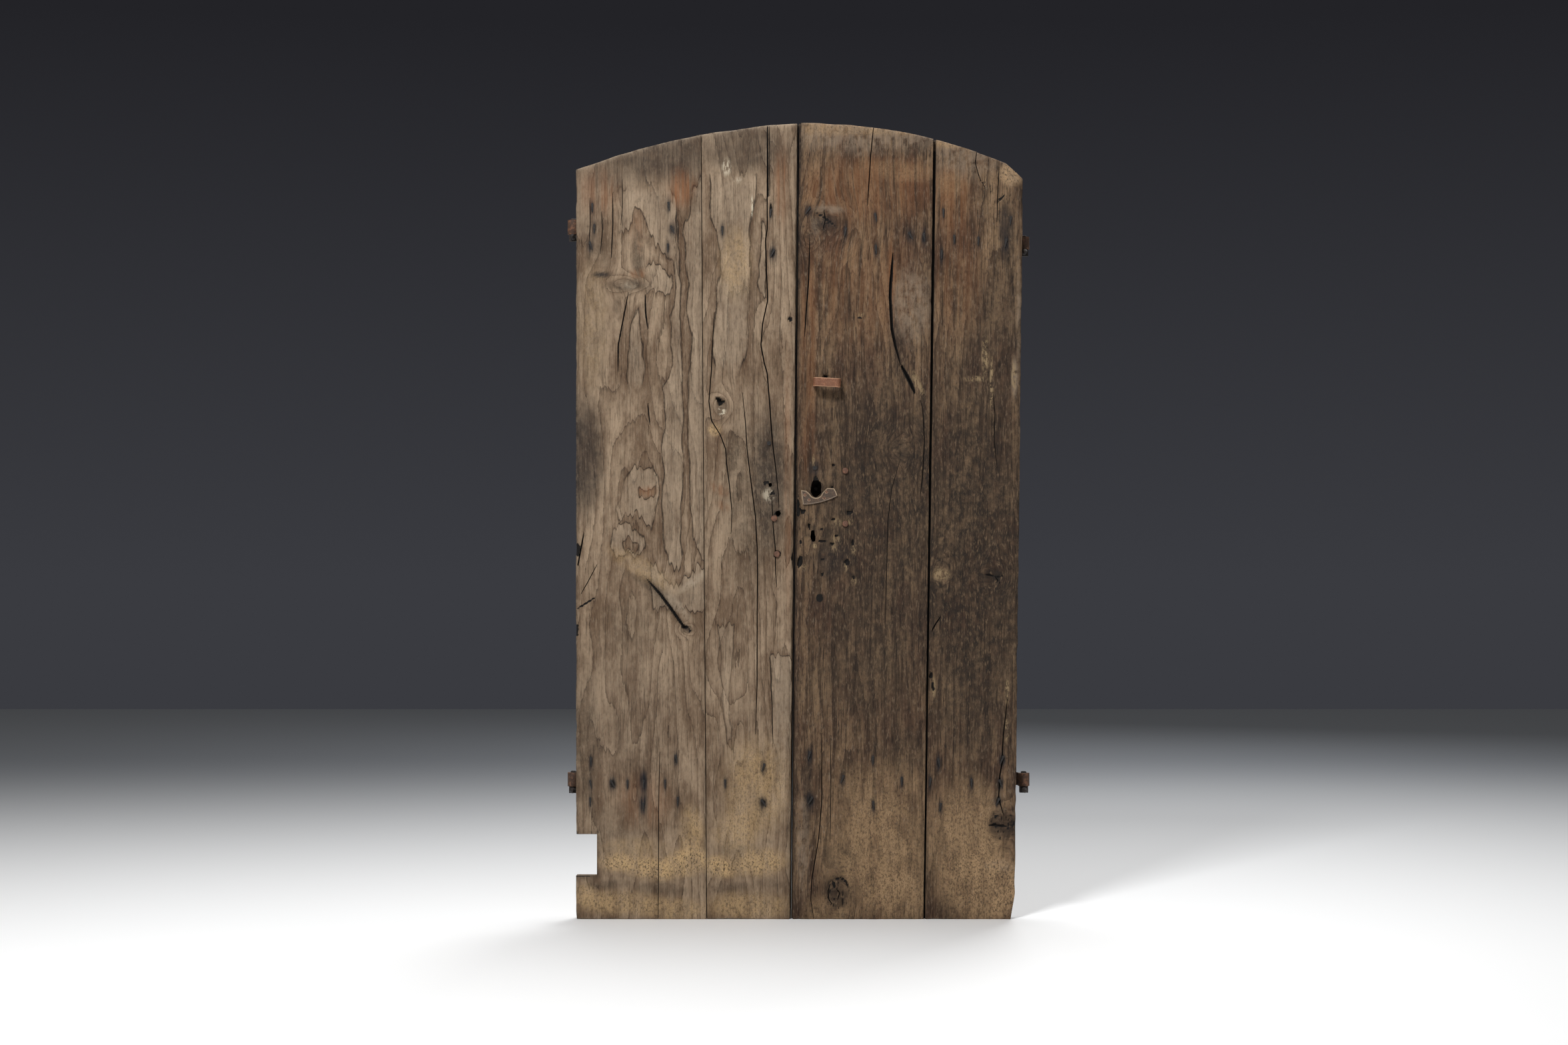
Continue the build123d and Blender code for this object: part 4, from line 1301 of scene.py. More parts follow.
@dataclass
class Forging:
    """An iron piece that keeps its solid's form, with worn edges painted paler: rubbed wear, and a painted
    highlight on them.
    """

    node: str
    edge: float
    rub_and_highlight: float = 0.6
    lip: float = 0.0

    def build(self, material: bpy.types.Material) -> bpy.types.Object:
        """Models the piece from a merged copy of its solid and dresses it.

        Args:
            material: The iron that it gets.

        Returns:
            The piece's object.
        """
        mesh = merged_copy(self.node)
        bmesh.ops.dissolve_limit(mesh, angle_limit=FLAT_ANGLE, verts=mesh.verts[:], edges=mesh.edges[:])
        rub_and_highlight = mesh.faces.layers.float.new("rub_and_highlight")
        if self.lip:
            self.turn_lip(mesh, rub_and_highlight)
        else:
            sharp = [e for e in mesh.edges if e.is_manifold and e.calc_face_angle() > BEVEL_ANGLE]
            made = bmesh.ops.bevel(
                mesh, geom=sharp, offset=self.edge * MM, offset_type="OFFSET", segments=2, profile=0.5,
                affect="EDGES", material=-1, clamp_overlap=True,
            )
            # The bevel faces are painted paler: rubbed wear, and a painted highlight on the edges
            for face in made["faces"]:
                face[rub_and_highlight] = self.rub_and_highlight
        bmesh.ops.recalc_face_normals(mesh, faces=mesh.faces[:])
        piece = make_object(self.node + "_iron", mesh, material)
        stand_for(piece, self.node)
        return piece

    def turn_lip(self, mesh: bmesh.types.BMesh, rub_and_highlight: Any) -> None:
        """Insets the front of a thin plate, turns its outer edge forward, and paints the upper rim paler than
        the lower as a painted highlight.

        Args:
            mesh: The plate.
            rub_and_highlight: Layer for how much paler each face is painted, for rubbed wear and a painted
                highlight.
        """
        front = [f for f in mesh.faces if f.normal.y < -0.9]
        inset = bmesh.ops.inset_region(mesh, faces=front, thickness=self.edge * MM, use_even_offset=True)
        rim = inset["faces"]
        outer = {v for f in rim for v in f.verts} - {v for f in front for v in f.verts}
        heights = [v.co.z for v in outer]
        middle = (min(heights) + max(heights)) / 2
        for vertex in outer:
            vertex.co.y -= self.lip * MM * (1.0 if vertex.co.z > middle else 0.5)
        # Painted highlight: the upper rim gets the full amount, the lower rim a fifth of it
        for face in rim:
            inner = [v.co.z for v in face.verts if v not in outer]
            above = [v.co.z for v in face.verts if v in outer]
            face[rub_and_highlight] = self.rub_and_highlight if sum(above) / len(above) > sum(inner) / len(inner) else 0.2 * self.rub_and_highlight


@dataclass
class Ironwork:
    """Every iron node of the frame, the finish that it gets, and the pieces modelled with worn edges."""

    finishes: tuple[tuple[IronFinish, tuple[str, ...]], ...] = (
        (HINGE_IRON, ("_hinge_strap",)),
        (PINTLE_IRON, ("_pintle",)),
        (NAIL_IRON, ("_batten_nails", "_strap_nails", "_stray_nail")),
        (LOCK_IRON, ("lock_case", "lock_bolt", "bolt_guides", "key_post", "bolt_spring", "lock_keeper")),
        (STUD_IRON, ("lock_studs", "keeper_studs", "plate_nails")),
        (PLATE_IRON, ("keyhole_plate",)),
        (PULL_IRON, ("pull_handle",)),
    )
    forgings: tuple[Forging, ...] = (
        Forging("pull_handle", 1.6, 0.7),
        Forging("keyhole_plate", 2.6, 0.9, lip=1.6),
        Forging("lock_case", 1.4, 0.5),
        Forging("lock_keeper", 1.0, 0.5),
        Forging("left_upper_hinge_strap", 0.9, 0.4),
        Forging("left_lower_hinge_strap", 0.9, 0.4),
        Forging("right_upper_hinge_strap", 0.9, 0.4),
        Forging("right_lower_hinge_strap", 0.9, 0.4),
    )

    def dress(self) -> None:
        """Gives each iron node its material, and models the pieces with worn edges."""
        forgings = {forging.node: forging for forging in self.forgings}
        for finish, endings in self.finishes:
            material = IronMaterial(finish).material
            for name, node in frame["nodes"].items():
                if not name.endswith(endings):
                    continue
                if name in forgings:
                    forgings[name].build(material)
                else:
                    node.data.materials.clear()
                    node.data.materials.append(material)
                    LOG.info("%s: %s", name, finish.name)


LEFT_ARCH = Arch(88.0, 1901.0, 1745.0)
RIGHT_ARCH = Arch(15.0, 1900.0, 1241.0)

LEFT_OUTER = Plank(
    node="left_outer_plank", finish=LEFT_OAK, seed=11,
    face_lines=((-531.0, -531.0), (-220.0, -233.5)),
    lap_lines=((-531.0, -531.0), (-233.0, -246.5)),
    back_lines=((-531.0, -531.0), (-233.0, -246.5)),
    arch=LEFT_ARCH,
    figure=Figure(-395.0, 10.0, 34.0, 700.0, 2.6, 40),
    worn_near=1.1, worn_far=0.35, free_near=True,
    nails=("left_batten_nails", "left_strap_nails"), stain=0.9, unevenness=0.6,
    openings=(Opening(-510.0, 153.0, 29.0, 50.0, square=True),),
    cracks=(
        Crack(((-443, 1733), (-443, 1652), (-447, 1574)), 2.2, 2.6),
        Crack(((-406, 1494), (-412, 1463), (-422, 1412), (-430, 1369), (-431, 1305)), 3.0, 4.0),
        Crack(((-366, 1491), (-365, 1448), (-360, 1409)), 3.2, 4.0),
        Crack(((-365, 814), (-331, 776), (-306, 743), (-276, 700), (-268, 691)), 5.5, 9.0),
        Crack(((-512, 921), (-525, 852), (-529, 832)), 3.0, 8.0),
        Crack(((-481, 845), (-506, 798), (-519, 776)), 2.2, 4.0),
        Crack(((-484, 768), (-506, 754), (-529, 740)), 2.4, 3.5),
        Crack(((-331, 400), (-333, 317), (-334, 233), (-334, 110), (-335, 1)), 1.4, 4.0),
        Crack(((-360, 1231), (-355, 1181)), 2.4, 3.0),
        Crack(((-498, 1720), (-497, 1660), (-500, 1610)), 1.6, 2.0),
        Crack(((-421, 1765), (-420, 1700), (-424, 1655)), 1.4, 1.6),
        Crack(((-470, 1690), (-468, 1640), (-473, 1588)), 1.6, 2.0),
    ),
    ridges=(
        Ridge((
            (-452, 874), (-400, 866), (-352, 836), (-312, 796), (-290, 776), (-262, 806), (-222, 842),
        ), 20, 2.0),
        Ridge(((-352, 790), (-318, 748), (-286, 704)), 16, 2.2),
        Ridge(((-300, 742), (-262, 722), (-236, 742)), 12, 1.6),
    ),
    knots=(
        Knot(-268, 691, 12, 9, 6.0, 0.9),
        Knot(-408, 1516, 26, 13, 1.6, 0.4),
    ),
    hollows=(
        Hollow(-527, 880, 6, 22, 7.0),
        Hollow(-529, 690, 5, 20, 6.0),
    ),
    tides=(
        Tide((
            (-220, 1776), (-253, 1744), (-257, 1701), (-276, 1630), (-268, 1606), (-271, 1566), (-263, 1526),
            (-265, 1456), (-253, 1369), (-263, 1291), (-265, 1207), (-261, 1121), (-261, 1035), (-257, 972),
            (-252, 908), (-242, 883), (-233, 865), (-205, 862), (-205, 1776),
        )),
        Tide((
            (-290, 1668), (-296, 1588), (-293, 1509), (-306, 1429), (-301, 1316), (-323, 1258), (-319, 1207),
            (-319, 1164), (-325, 1121), (-320, 1057), (-327, 994), (-323, 930), (-319, 883), (-306, 840),
            (-297, 823), (-276, 865), (-284, 908), (-280, 972), (-276, 1057), (-276, 1207), (-278, 1270),
            (-277, 1334), (-282, 1429), (-282, 1509), (-284, 1588), (-287, 1660),
        )),
        Tide((
            (-205, 843), (-238, 845), (-276, 810), (-295, 789), (-315, 806), (-334, 832), (-354, 848),
            (-347, 738), (-205, 738),
        )),
        Tide((
            (-431, 1736), (-403, 1757), (-339, 1760), (-306, 1744), (-290, 1707), (-293, 1666), (-290, 1604),
            (-296, 1564), (-317, 1587), (-341, 1606), (-360, 1645), (-373, 1684), (-384, 1698), (-393, 1687),
            (-395, 1664), (-404, 1644), (-427, 1636), (-439, 1668), (-436, 1715),
        )),
        Tide((
            (-355, 1564), (-331, 1556), (-311, 1548), (-301, 1528), (-301, 1506), (-315, 1490), (-339, 1498),
            (-360, 1493), (-366, 1517), (-365, 1548),
        )),
        Tide((
            (-384, 1469), (-396, 1429), (-403, 1382), (-409, 1302), (-401, 1239), (-376, 1239), (-368, 1302),
            (-373, 1366), (-376, 1413),
        )),
        Tide(
            ((-387, 1080), (-349, 1080), (-336, 1053), (-331, 1027), (-338, 981), (-350, 934), (-371, 953),
             (-387, 968), (-411, 961), (-430, 953), (-435, 984), (-419, 1032), (-403, 1064)),
            holes=(((-382, 1032), (-360, 1027), (-339, 1032), (-341, 1010), (-363, 1007), (-382, 1010)),),
        ),
        Tide(
            ((-425, 945), (-403, 943), (-379, 926), (-366, 902), (-366, 880), (-387, 865), (-411, 870),
             (-435, 870), (-449, 886), (-446, 921)),
            holes=(((-420, 902), (-403, 911), (-382, 899), (-384, 878), (-411, 878)),),
        ),
    ),
    patches={
        Tone.FADE: (
            (-365, 1762, 85, 26, 1.0), (-438, 1680, 16, 60, 0.9), (-362, 1525, 14, 30, 0.7),
            (-390, 1240, 30, 34, 1.0), (-425, 1010, 18, 50, 0.6),
        ),
        Tone.WARM: (
            (-479, 1735, 45, 55, 0.5), (-282, 1746, 30, 44, 0.85), (-384, 1540, 16, 12, 0.8),
            (-384, 1630, 15, 50, 0.55), (-360, 1020, 22, 12, 0.6), (-375, 280, 60, 60, 0.45),
        ),
        Tone.IRON: (
            (-472, 1537, 17, 5, 0.8), (-300, 1826, 105, 60, 0.36), (-430, 1780, 90, 45, 0.22),
            (-500, 1690, 34, 90, 0.2), (-492, 1400, 36, 130, 0.24), (-512, 1100, 40, 125, 0.5),
            (-400, 470, 120, 170, 0.14), (-370, 328, 8, 24, 0.95), (-370, 276, 9, 22, 0.95),
            (-370, 300, 16, 60, 0.45),
        ),
        Tone.SOOT: (
            (-303, 1822, 95, 54, 0.45), (-430, 1790, 75, 40, 0.35), (-408, 1511, 46, 12, 0.75),
            (-469, 1536, 22, 6, 0.8), (-470, 1590, 30, 40, 0.35), (-384, 1590, 14, 64, 0.7),
            (-433, 1463, 9, 16, 0.6), (-512, 1107, 46, 130, 0.6), (-362, 800, 60, 9, 0.55, -33),
            (-330, 770, 22, 50, 0.45, 38), (-400, 700, 70, 60, 0.25), (-505, 420, 25, 160, 0.45),
            (-420, 220, 70, 60, 0.35), (-455, 84, 48, 10, 0.5, 3), (-330, 74, 60, 13, 0.45, -3),
        ),
        Tone.PALE: (
            (-402, 1511, 15, 8, 1.0), (-350, 826, 70, 14, 0.3, -33), (-250, 806, 42, 8, 0.7, 36),
            (-290, 748, 44, 10, 0.6, -45),
        ),
        Tone.DUST: (
            (-492, 1415, 34, 130, 0.25), (-372, 836, 84, 22, 0.35, -31), (-430, 136, 45, 20, 0.9),
            (-345, 122, 60, 26, 0.95, -4), (-262, 138, 48, 30, 1.0, 6), (-255, 205, 26, 60, 0.6),
            (-390, 170, 70, 22, 0.35), (-430, 40, 90, 26, 0.65), (-300, 24, 80, 24, 0.55),
            (-510, 60, 22, 24, 0.6),
        ),
    },
)

LEFT_INNER = Plank(
    node="left_inner_plank", finish=LEFT_OAK, seed=23,
    face_lines=((-218.5, -232.0), (-21.5, -3.5)),
    lap_lines=((-232.0, -245.5), (-20.2, -2.2)),
    back_lines=((-232.0, -245.5), (-18.2, -0.2)),
    arch=LEFT_ARCH,
    figure=Figure(-150.0, 20.0, 26.0, 520.0, 2.8, 52),
    worn_near=0.35, worn_far=0.9,
    nails=("left_batten_nails", "left_strap_nails"), stain=0.9, unevenness=0.6,
    openings=(Opening(-67.8, 1036.0, 4.4, 4.4), Opening(-49.3, 967.7, 6.4, 6.4)),
    cracks=(
        Crack((
            (-75, 1893), (-75, 1779), (-75, 1645), (-79, 1620), (-77, 1556), (-75, 1507), (-74, 1475),
            (-86, 1420), (-90, 1369), (-82, 1326), (-75, 1302), (-69, 1228), (-63, 1142), (-55, 1078),
            (-48, 1010), (-47, 980),
        ), 2.4, 7.0),
        Crack(((-70, 1893), (-69, 1811), (-69, 1725)), 1.4, 3.0),
        Crack(((-64, 1008), (-61, 937), (-56, 889), (-55, 825), (-52, 794)), 1.8, 4.0),
        Crack((
            (-201, 1448), (-206, 1361), (-208, 1309), (-214, 1235), (-208, 1189), (-187, 1155), (-174, 1121),
            (-172, 1088), (-165, 1035), (-159, 972), (-161, 921),
        ), 2.0, 5.0),
        Crack((
            (-134, 1255), (-127, 1185), (-123, 1121), (-117, 1070), (-110, 1015), (-103, 959), (-99, 887),
            (-98, 823), (-99, 729), (-99, 559), (-103, 443),
        ), 2.0, 6.0),
        Crack(((-68, 614), (-64, 524), (-61, 419)), 1.2, 1.5),
    ),
    knots=(Knot(-184, 1222, 16, 20, 3.0, 0.5),),
    hollows=(
        Hollow(-185, 1233, 10, 7, 12.0),
        Hollow(-193, 1240, 6, 5, 8.0),
        Hollow(-66, 1696, 3, 16, 6.0),
        Hollow(-78, 1042, 9, 5, 3.0),
        Hollow(-62, 1016, 7, 4, 2.5),
        Hollow(-20, 1431, 8, 7, 6.0),
        Hollow(-52.3, 870.8, 10.5, 10.5, 2.4),
        Hollow(-12, 860, 5, 26, 5.0),
    ),
    tides=(
        Tide((
            (-214, 1792), (-212, 1744), (-211, 1669), (-198, 1645), (-188, 1595), (-185, 1542), (-195, 1502),
            (-196, 1448), (-206, 1361), (-196, 1302), (-144, 1283), (-123, 1366), (-117, 1509), (-117, 1645),
            (-107, 1701), (-99, 1776), (-157, 1811),
        )),
        Tide(((-87, 1660), (-91, 1595), (-98, 1526), (-91, 1494), (-79, 1490), (-79, 1660))),
        Tide((
            (-196, 706), (-185, 648), (-187, 592), (-180, 512), (-172, 425), (-160, 428), (-166, 489),
            (-164, 568), (-160, 614), (-152, 698),
        )),
        Tide(((-69, 627), (-64, 524), (-61, 419), (-64, 317), (-66, 209), (-24, 206), (-14, 627))),
    ),
    patches={
        Tone.FADE: (
            (-155, 1800, 75, 34, 1.0), (-170, 1290, 60, 30, 0.9), (-118, 1480, 12, 130, 0.5),
            (-45, 300, 40, 150, 0.9), (-175, 560, 40, 150, 0.45),
        ),
        Tone.SOOT: (
            (-135, 1838, 100, 54, 0.4), (-66, 1048, 38, 150, 0.7), (-157, 1111, 18, 42, 0.6),
            (-110, 1000, 60, 200, 0.55), (-150, 168, 50, 14, 0.35), (-160, 76, 45, 12, 0.45, 4),
            (-60, 84, 40, 10, 0.35, -5),
        ),
        Tone.IRON: (
            (-130, 1842, 110, 60, 0.3), (-70, 1050, 34, 150, 0.3),
        ),
        Tone.WARM: (
            (-40, 1755, 16, 95, 0.6), (-188, 1024, 24, 12, 0.5, -35), (-180, 985, 20, 10, 0.4, -35),
            (-26, 1030, 8, 290, 0.4),
        ),
        Tone.SCUFF: (
            (-172, 1792, 10, 18, 0.6), (-111, 1700, 2.5, 22, 1.0), (-146, 1763, 10, 6, 0.4),
            (-72, 1012, 13, 14, 0.5), (-184, 1209, 9, 10, 1.0),
        ),
        Tone.DUST: (
            (-149, 1565, 35, 75, 0.4), (-201, 1167, 14, 13, 0.8), (-101, 317, 70, 100, 0.5),
            (-185, 126, 40, 24, 0.95, -6), (-95, 136, 60, 30, 0.8, 5), (-150, 205, 50, 50, 0.45),
            (-120, 32, 90, 30, 0.6),
        ),
        Tone.PALE: (
            (-41, 445, 14, 180, 0.25),
        ),
    },
)

RIGHT_INNER = Plank(
    node="right_inner_plank", finish=RIGHT_OAK, seed=37,
    face_lines=((-15.2, 6.0), (297.5, 321.5)),
    lap_lines=((-16.0, 2.0), (284.5, 308.5)),
    back_lines=((-18.0, 0.0), (284.5, 308.5)),
    arch=RIGHT_ARCH,
    figure=Figure(97.0, 20.0, 24.0, 420.0, 1.6, 64),
    worn_near=1.0, worn_far=0.5,
    nails=("right_batten_nails", "right_strap_nails", "right_stray_nail"),
    openings=(Opening(41.0, 1027.5, 12.3, 19.0, ragged=4.0), Opening(34.25, 914.5, 5.5, 15.0, ragged=4.0)),
    cracks=(
        Crack(((179, 1893), (172, 1823), (164, 1701)), 2.0, 6.0),
        Crack(((26, 1620), (26, 1598), (24, 1526), (18, 1448), (14, 1388)), 2.6, 5.0),
        Crack(((225, 1588), (220, 1525), (218, 1487), (222, 1409), (230, 1369), (243, 1321)), 5.5, 8.0),
        Crack(((243, 1323), (255, 1302), (269, 1274), (277, 1253)), 6.5, 10.0),
        Crack(((290, 1239), (296, 1215), (300, 1142), (296, 1062), (290, 1010)), 2.0, 3.0),
        Crack(((242, 1096), (222, 1027), (213, 951), (209, 802), (207, 695)), 1.2, 1.6),
        Crack(((55, 443), (55, 279), (48, 195), (31, 92), (29, 45), (36, 2)), 1.8, 4.0),
        Crack(((75, 438), (77, 317), (75, 185)), 1.2, 1.6),
        Crack(((42, 1684), (64, 1672), (92, 1648)), 3.0, 3.0),
        Crack(((60, 1690), (64, 1668), (58, 1644)), 2.4, 2.6),
        Crack(((76, 86), (70, 66), (72, 46), (84, 32), (98, 28)), 2.4, 3.0),
        Crack(((82, 92), (100, 99), (112, 90), (119, 74)), 2.4, 3.0),
        Crack(((86, 78), (98, 62), (92, 44)), 2.2, 3.0),
    ),
    knots=(
        Knot(65, 1665, 36, 27, 2.6, 0.45),
        Knot(26, 1622, 13, 18, 3.0, 0.5),
        Knot(94, 64, 25, 36, 4.5, 0.82),
        Knot(240, 1120, 26, 18, 1.5, 0.4),
    ),
    hollows=(
        Hollow(83, 1082, 4, 4, 6.0),
        Hollow(79, 1029, 3.6, 4, 5.0),
        Hollow(122, 971, 11, 5, 6.0, 12),
        Hollow(83, 954, 4, 4, 5.0),
        Hollow(54, 930, 4, 4, 4.0),
        Hollow(57, 901, 12, 3.6, 5.0),
        Hollow(80, 895, 5.5, 5, 6.0),
        Hollow(90, 914, 5, 3.6, 5.0),
        Hollow(57, 858, 8, 3, 3.0),
        Hollow(56, 823, 3.4, 4, 4.0),
        Hollow(131, 816, 3.4, 6, 4.0),
        Hollow(129, 900, 3.4, 9, 5.0),
        Hollow(114, 852, 12, 6, 6.0, -14),
        Hollow(5, 900, 4, 4, 4.0),
        Hollow(9, 973, 7, 5, 6.0),
        Hollow(-2, 982, 6, 34, 8.0),
        Hollow(3, 852, 9, 17, 8.0),
        Hollow(64, 1294, 9, 5, 10.0),
        Hollow(25, 937, 3, 12, 8.0, 22),
        Hollow(41, 1050, 8, 8, 4.0),
    ),
    patches={
        Tone.PALE: (
            (161, 1872, 200, 40, 0.5), (268, 1465, 44, 85, 0.5), (72, 1692, 36, 9, 0.6),
            (40, 1652, 10, 20, 0.5), (10, 190, 14, 120, 0.5),
        ),
        Tone.DUST: (
            (150, 1886, 190, 16, 0.5), (235, 1784, 75, 22, 0.28, -5), (190, 150, 110, 120, 0.6),
            (235, 60, 80, 60, 0.45), (70, 20, 50, 40, 0.4), (180, 300, 110, 70, 0.35),
        ),
        Tone.WARM: (
            (235, 1784, 85, 30, 0.4, -5), (161, 1738, 160, 75, 0.6), (150, 1520, 120, 140, 0.35),
            (22, 1330, 18, 270, 0.5), (222, 1540, 7, 75, 0.95), (60, 868, 6, 4, 0.9),
        ),
        Tone.IRON: (
            (65, 1663, 22, 15, 0.45), (38, 1076, 12, 18, 0.7), (78, 860, 40, 36, 0.25),
        ),
        Tone.SCUFF: (
            (148, 1441, 7, 3, 1.0), (284, 1277, 8, 32, 0.7, 25), (36, 1094, 3, 16, 0.7),
            (118, 948, 10, 7, 0.8), (112, 838, 5, 9, 0.8), (90, 945, 12, 10, 0.55),
            (88, 905, 12, 12, 0.55), (84, 884, 9, 8, 0.55), (131, 884, 6, 14, 0.7),
            (132, 806, 6, 8, 0.7), (38, 890, 6, 5, 0.9), (10, 838, 8, 7, 0.7),
        ),
        # The first is a painted shadow under a small staple, which the pale scuff at (148, 1441) stands for
        Tone.DARK: (
            (146, 1435, 7, 3, 0.7), (50, 766, 9, 11, 0.75), (262, 1286, 6, 30, 0.55, 28),
        ),
        Tone.SOOT: (
            (65, 1665, 42, 34, 0.3), (120, 1450, 26, 50, 0.35), (217, 1016, 100, 215, 0.8),
            (190, 860, 150, 400, 0.6), (120, 1190, 90, 60, 0.35), (90, 980, 60, 120, 0.45),
            (292, 1105, 20, 130, 0.8), (200, 700, 120, 120, 0.35), (95, 862, 55, 50, 0.6),
            (238, 1345, 16, 70, 0.6, 8), (22, 300, 10, 120, 0.65), (255, 400, 55, 55, 0.45),
            (110, 560, 120, 60, 0.25), (100, 150, 40, 34, 0.7), (94, 64, 44, 56, 0.5),
        ),
    },
)

RIGHT_OUTER = Plank(
    node="right_outer_plank", finish=RIGHT_OAK, seed=49,
    face_lines=((301.5, 328.5), (515.0, 537.0)),
    lap_lines=((285.5, 309.5), (515.0, 537.0)),
    back_lines=((285.5, 309.5), (515.0, 537.0)),
    arch=RIGHT_ARCH,
    figure=Figure(470.0, 10.0, 26.0, 480.0, 1.8, 76),
    top_chip=((447.9, 1846.0), (579.9, 1726.0)),
    foot_chip=((495.0, -57.0), (525.0, 114.0)),
    worn_near=0.5, worn_far=1.0, free_far=True,
    nails=("right_batten_nails", "right_strap_nails"),
    cracks=(
        Crack(((425, 1831), (421, 1803), (431, 1768), (445, 1744), (468, 1728)), 2.0, 3.0),
        Crack(((478, 1795), (474, 1717), (473, 1661)), 1.6, 3.0),
        Crack(((473, 1709), (492, 1728)), 1.6, 2.0),
        Crack(((463, 1255), (468, 1207), (466, 1142), (473, 1078)), 1.8, 2.5),
        Crack(((498, 526), (488, 438), (485, 373), (479, 339), (477, 288), (488, 250), (508, 232)), 2.4, 6.0),
        Crack(((317, 686), (327, 705), (339, 722)), 3.0, 5.0),
        Crack(((438, 826), (470, 815), (492, 820)), 2.6, 4.0),
        Crack(((468, 818), (480, 800)), 2.6, 4.0),
        Crack(((452, 224), (480, 222), (514, 223)), 3.4, 5.0),
    ),
    knots=(
        Knot(485, 224, 34, 32, 4.5, 0.82),
        Knot(462, 820, 28, 18, 2.0, 0.5),
        Knot(340, 824, 20, 18, 3.0, 0.2),
    ),
    hollows=(
        Hollow(315, 582, 5, 9, 8.0),
        Hollow(320, 556, 4, 14, 3.0, 15),
    ),
    patches={
        Tone.PALE: (
            (405, 1822, 85, 50, 0.45), (515, 1290, 7, 45, 0.9), (525, 1430, 6, 120, 0.5),
            (507, 1775, 24, 22, 0.6), (483, 128, 35, 12, 0.8),
        ),
        Tone.WARM: (
            (365, 1705, 45, 70, 0.5), (380, 1540, 60, 130, 0.35), (362, 1750, 40, 45, 0.4),
        ),
        Tone.SOOT: (
            (495, 1644, 18, 65, 0.55), (420, 850, 130, 420, 0.95), (470, 1380, 60, 160, 0.5),
            (330, 760, 20, 110, 0.6), (400, 480, 80, 90, 0.35), (360, 30, 30, 40, 0.5),
            (505, 1560, 16, 140, 0.45), (463, 113, 22, 6, 0.7),
        ),
        Tone.SCUFF: (
            (445, 1345, 8, 42, 0.9), (460, 1278, 4, 60, 0.9), (422, 1288, 26, 6, 0.8),
            (513, 1290, 5, 36, 0.8), (340, 822, 20, 13, 0.7), (322, 552, 4, 22, 0.9),
            (497, 545, 5, 30, 0.8), (495, 452, 6, 26, 0.8),
        ),
        Tone.DUST: (
            (380, 1850, 70, 12, 0.5), (507, 1775, 26, 24, 1.0), (340, 824, 20, 17, 0.25),
            (400, 190, 80, 130, 0.6), (440, 80, 90, 90, 0.7), (478, 70, 45, 60, 0.8),
            (362, 1756, 32, 26, 0.22),
        ),
        Tone.IRON: (
            (490, 1640, 12, 62, 0.55),
        ),
    },
)


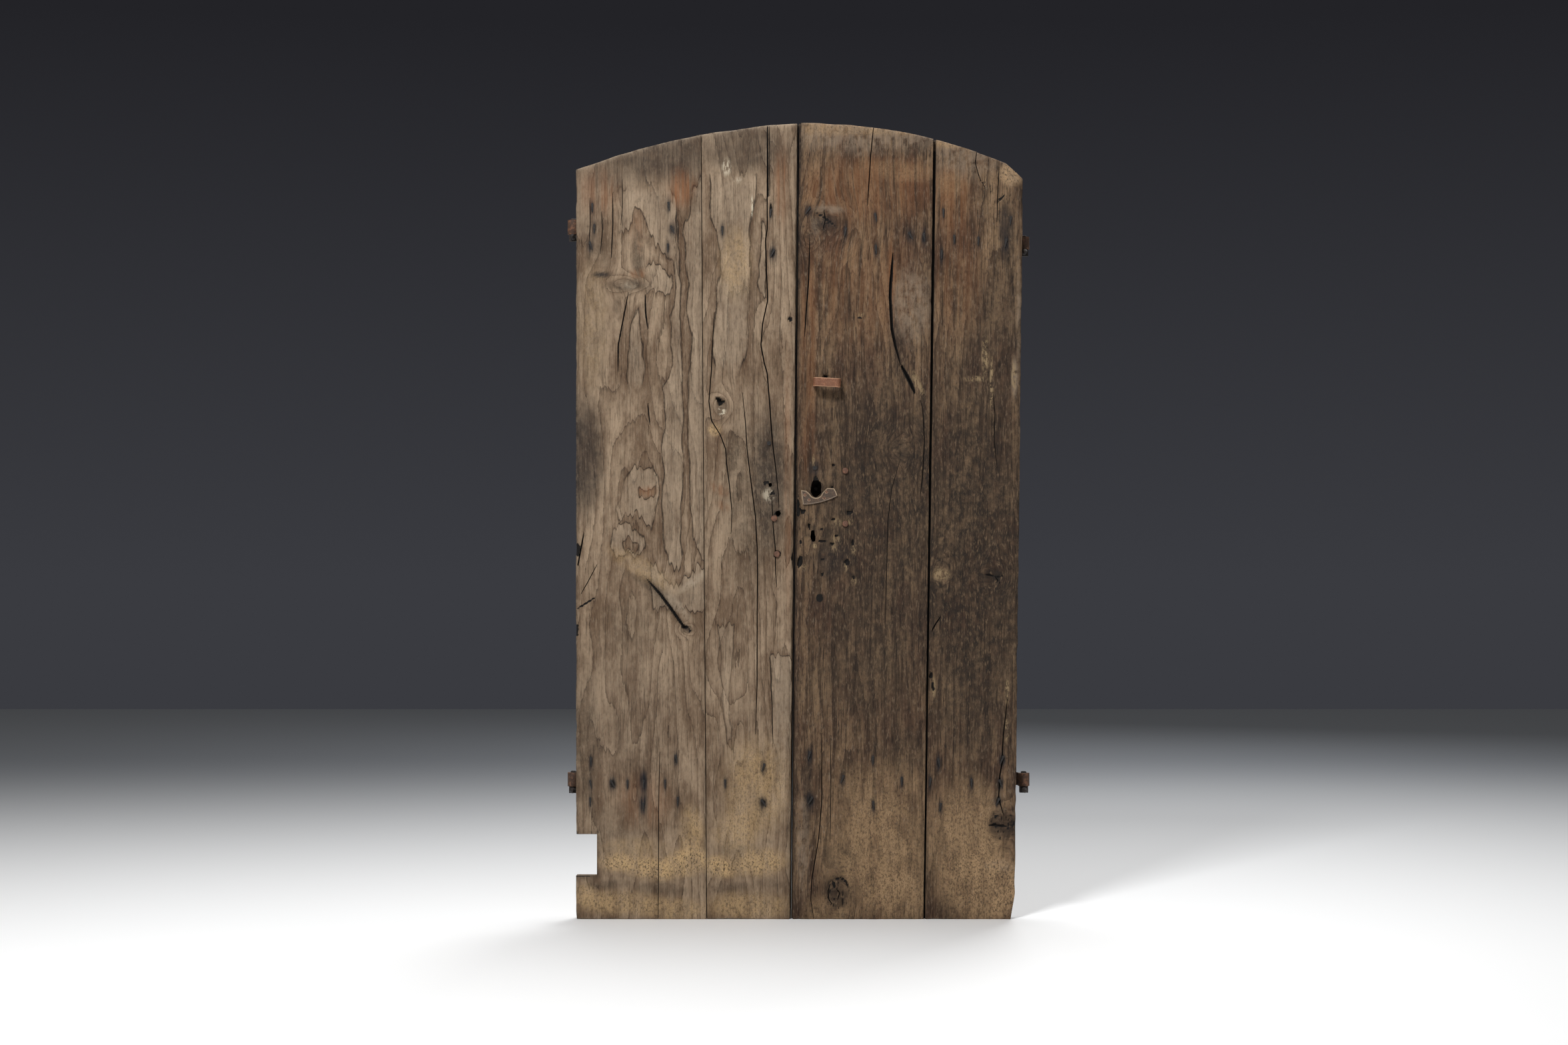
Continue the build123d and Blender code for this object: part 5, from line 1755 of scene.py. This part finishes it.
@dataclass
class Studio:
    """Floor, light, backdrop tone and camera."""

    camera_place: tuple[float, float, float] = (-35.0, -6521.0, 946.0)
    lens: float = 62.6
    floor_half: float = 7300.0
    floor_colour: str = "#f7f7f7"
    # Painted shade: the floor greys to this colour between these two places, in metres back from the door
    floor_painted_shade: str = "#717479"
    floor_shade_span_m: tuple[float, float] = (-1.0, 4.6)
    backdrop_low: str = "#3a3b40"
    backdrop_high: str = "#232327"
    backdrop_rise: tuple[float, float] = (-0.02, 0.18)
    sky_colour: str = "#ffffff"
    sky_strength: float = 0.16

    def build(self) -> None:
        """Makes the stage round the door."""
        self.make_floor()
        self.make_world()
        self.make_lamp("key", (-1.5, -3.7, 4.5), (0.0, 0.0, 0.9), 0.9, 240.0)
        self.make_lamp("fill", (2.4, -5.0, 1.6), (0.0, 0.0, 1.0), 2.6, 16.0)
        self.make_lamp("top", (0.0, 0.9, 4.4), (0.0, 0.0, 1.9), 1.8, 80.0)
        self.make_lamp("rear", (1.6, 4.4, 3.4), (0.0, 0.0, 0.9), 2.4, 120.0)
        self.make_camera()

    def make_floor(self) -> None:
        """Lays a pale floor of matt paint whose colour greys towards the backdrop, as painted shade where the
        light falls off.
        """
        mesh = bmesh.new()
        bmesh.ops.create_grid(mesh, x_segments=2, y_segments=2, size=self.floor_half * MM)
        material = empty_material("pale_studio_floor")
        tree = material.node_tree
        place = add_node(tree, "ShaderNodeTexCoord").outputs["Object"]
        back = add_node(tree, "ShaderNodeSeparateXYZ", {0: place}).outputs["Y"]
        # Painted shade: the floor darkens from its pale colour to the far colour towards the back
        limits = {"Value": back, "From Min": self.floor_shade_span_m[0], "From Max": self.floor_shade_span_m[1]}
        share = add_node(tree, "ShaderNodeMapRange", limits, interpolation_type="SMOOTHSTEP")
        mix = {0: share.outputs["Result"], MIX_A: linear(self.floor_colour), MIX_B: linear(self.floor_painted_shade)}
        colour = add_node(tree, "ShaderNodeMix", mix, data_type="RGBA").outputs[MIX_OUT]
        surface = add_node(tree, "ShaderNodeBsdfPrincipled", {"Base Color": colour, "Roughness": 0.7})
        add_node(tree, "ShaderNodeOutputMaterial", {"Surface": surface.outputs["BSDF"]})
        make_object("floor", mesh, material)

    def make_world(self) -> None:
        """Gives soft light from all round, and a plain slate backdrop that the camera sees."""
        world = bpy.data.worlds.new("studio")
        bpy.context.scene.world = world
        world.use_nodes = True
        tree = world.node_tree
        tree.nodes.clear()
        way = add_node(tree, "ShaderNodeTexCoord").outputs["Generated"]
        rise = add_node(tree, "ShaderNodeSeparateXYZ", {0: way}).outputs["Z"]
        limits = {"Value": rise, "From Min": self.backdrop_rise[0], "From Max": self.backdrop_rise[1]}
        share = add_node(tree, "ShaderNodeMapRange", limits).outputs["Result"]
        mix = {0: share, MIX_A: linear(self.backdrop_low), MIX_B: linear(self.backdrop_high)}
        wall = add_node(tree, "ShaderNodeMix", mix, data_type="RGBA").outputs[MIX_OUT]
        seen = add_node(tree, "ShaderNodeLightPath").outputs["Is Camera Ray"]
        sky = {"Color": linear(self.sky_colour), "Strength": self.sky_strength}
        light = add_node(tree, "ShaderNodeBackground", sky)
        backdrop = add_node(tree, "ShaderNodeBackground", {"Color": wall, "Strength": 1.0})
        joined = {0: seen, 1: light.outputs[0], 2: backdrop.outputs[0]}
        mixed = add_node(tree, "ShaderNodeMixShader", joined)
        add_node(tree, "ShaderNodeOutputWorld", {"Surface": mixed.outputs[0]})

    def make_lamp(self, name: str, place: tuple, aim: tuple, size: float, power: float) -> None:
        """Hangs one soft lamp.

        Args:
            name: The lamp's name.
            place: Where it hangs, in metres.
            aim: The point that it faces, in metres.
            size: Side of its square face, in metres.
            power: Its power in watts.
        """
        data = bpy.data.lights.new(name, "AREA")
        data.size = size
        data.energy = power
        lamp = bpy.data.objects.new(name, data)
        lamp.location = place
        lamp.rotation_euler = (Vector(aim) - Vector(place)).to_track_quat("-Z", "Y").to_euler()
        bpy.context.scene.collection.objects.link(lamp)

    def make_camera(self) -> None:
        """Sets the camera level in front of the door."""
        data = bpy.data.cameras.new("camera")
        data.sensor_width = 36.0
        data.lens = self.lens
        camera = bpy.data.objects.new("camera", data)
        camera.location = [c * MM for c in self.camera_place]
        camera.rotation_euler = (math.radians(90), 0.0, 0.0)
        bpy.context.scene.collection.objects.link(camera)
        bpy.context.scene.camera = camera


def main() -> None:
    """Builds the pieces in order, dresses the ironwork and sets the stage."""
    logging.basicConfig(level=logging.INFO, format="%(message)s")
    bpy.context.scene.view_settings.view_transform = "Standard"
    woods = {finish.name: WoodMaterial(finish) for finish in (LEFT_OAK, RIGHT_OAK, BATTEN_OAK)}
    sides = ("left_upper", "left_lower", "right_upper", "right_lower")
    battens = [Batten(side + "_batten", BATTEN_OAK, seed) for seed, side in enumerate(sides, start=90)]
    for board in (LEFT_OUTER, LEFT_INNER, RIGHT_INNER, RIGHT_OUTER, *battens):
        board.build(woods[board.finish.name])
    Ironwork().dress()
    Studio().build()


if __name__ == "__main__":
    main()
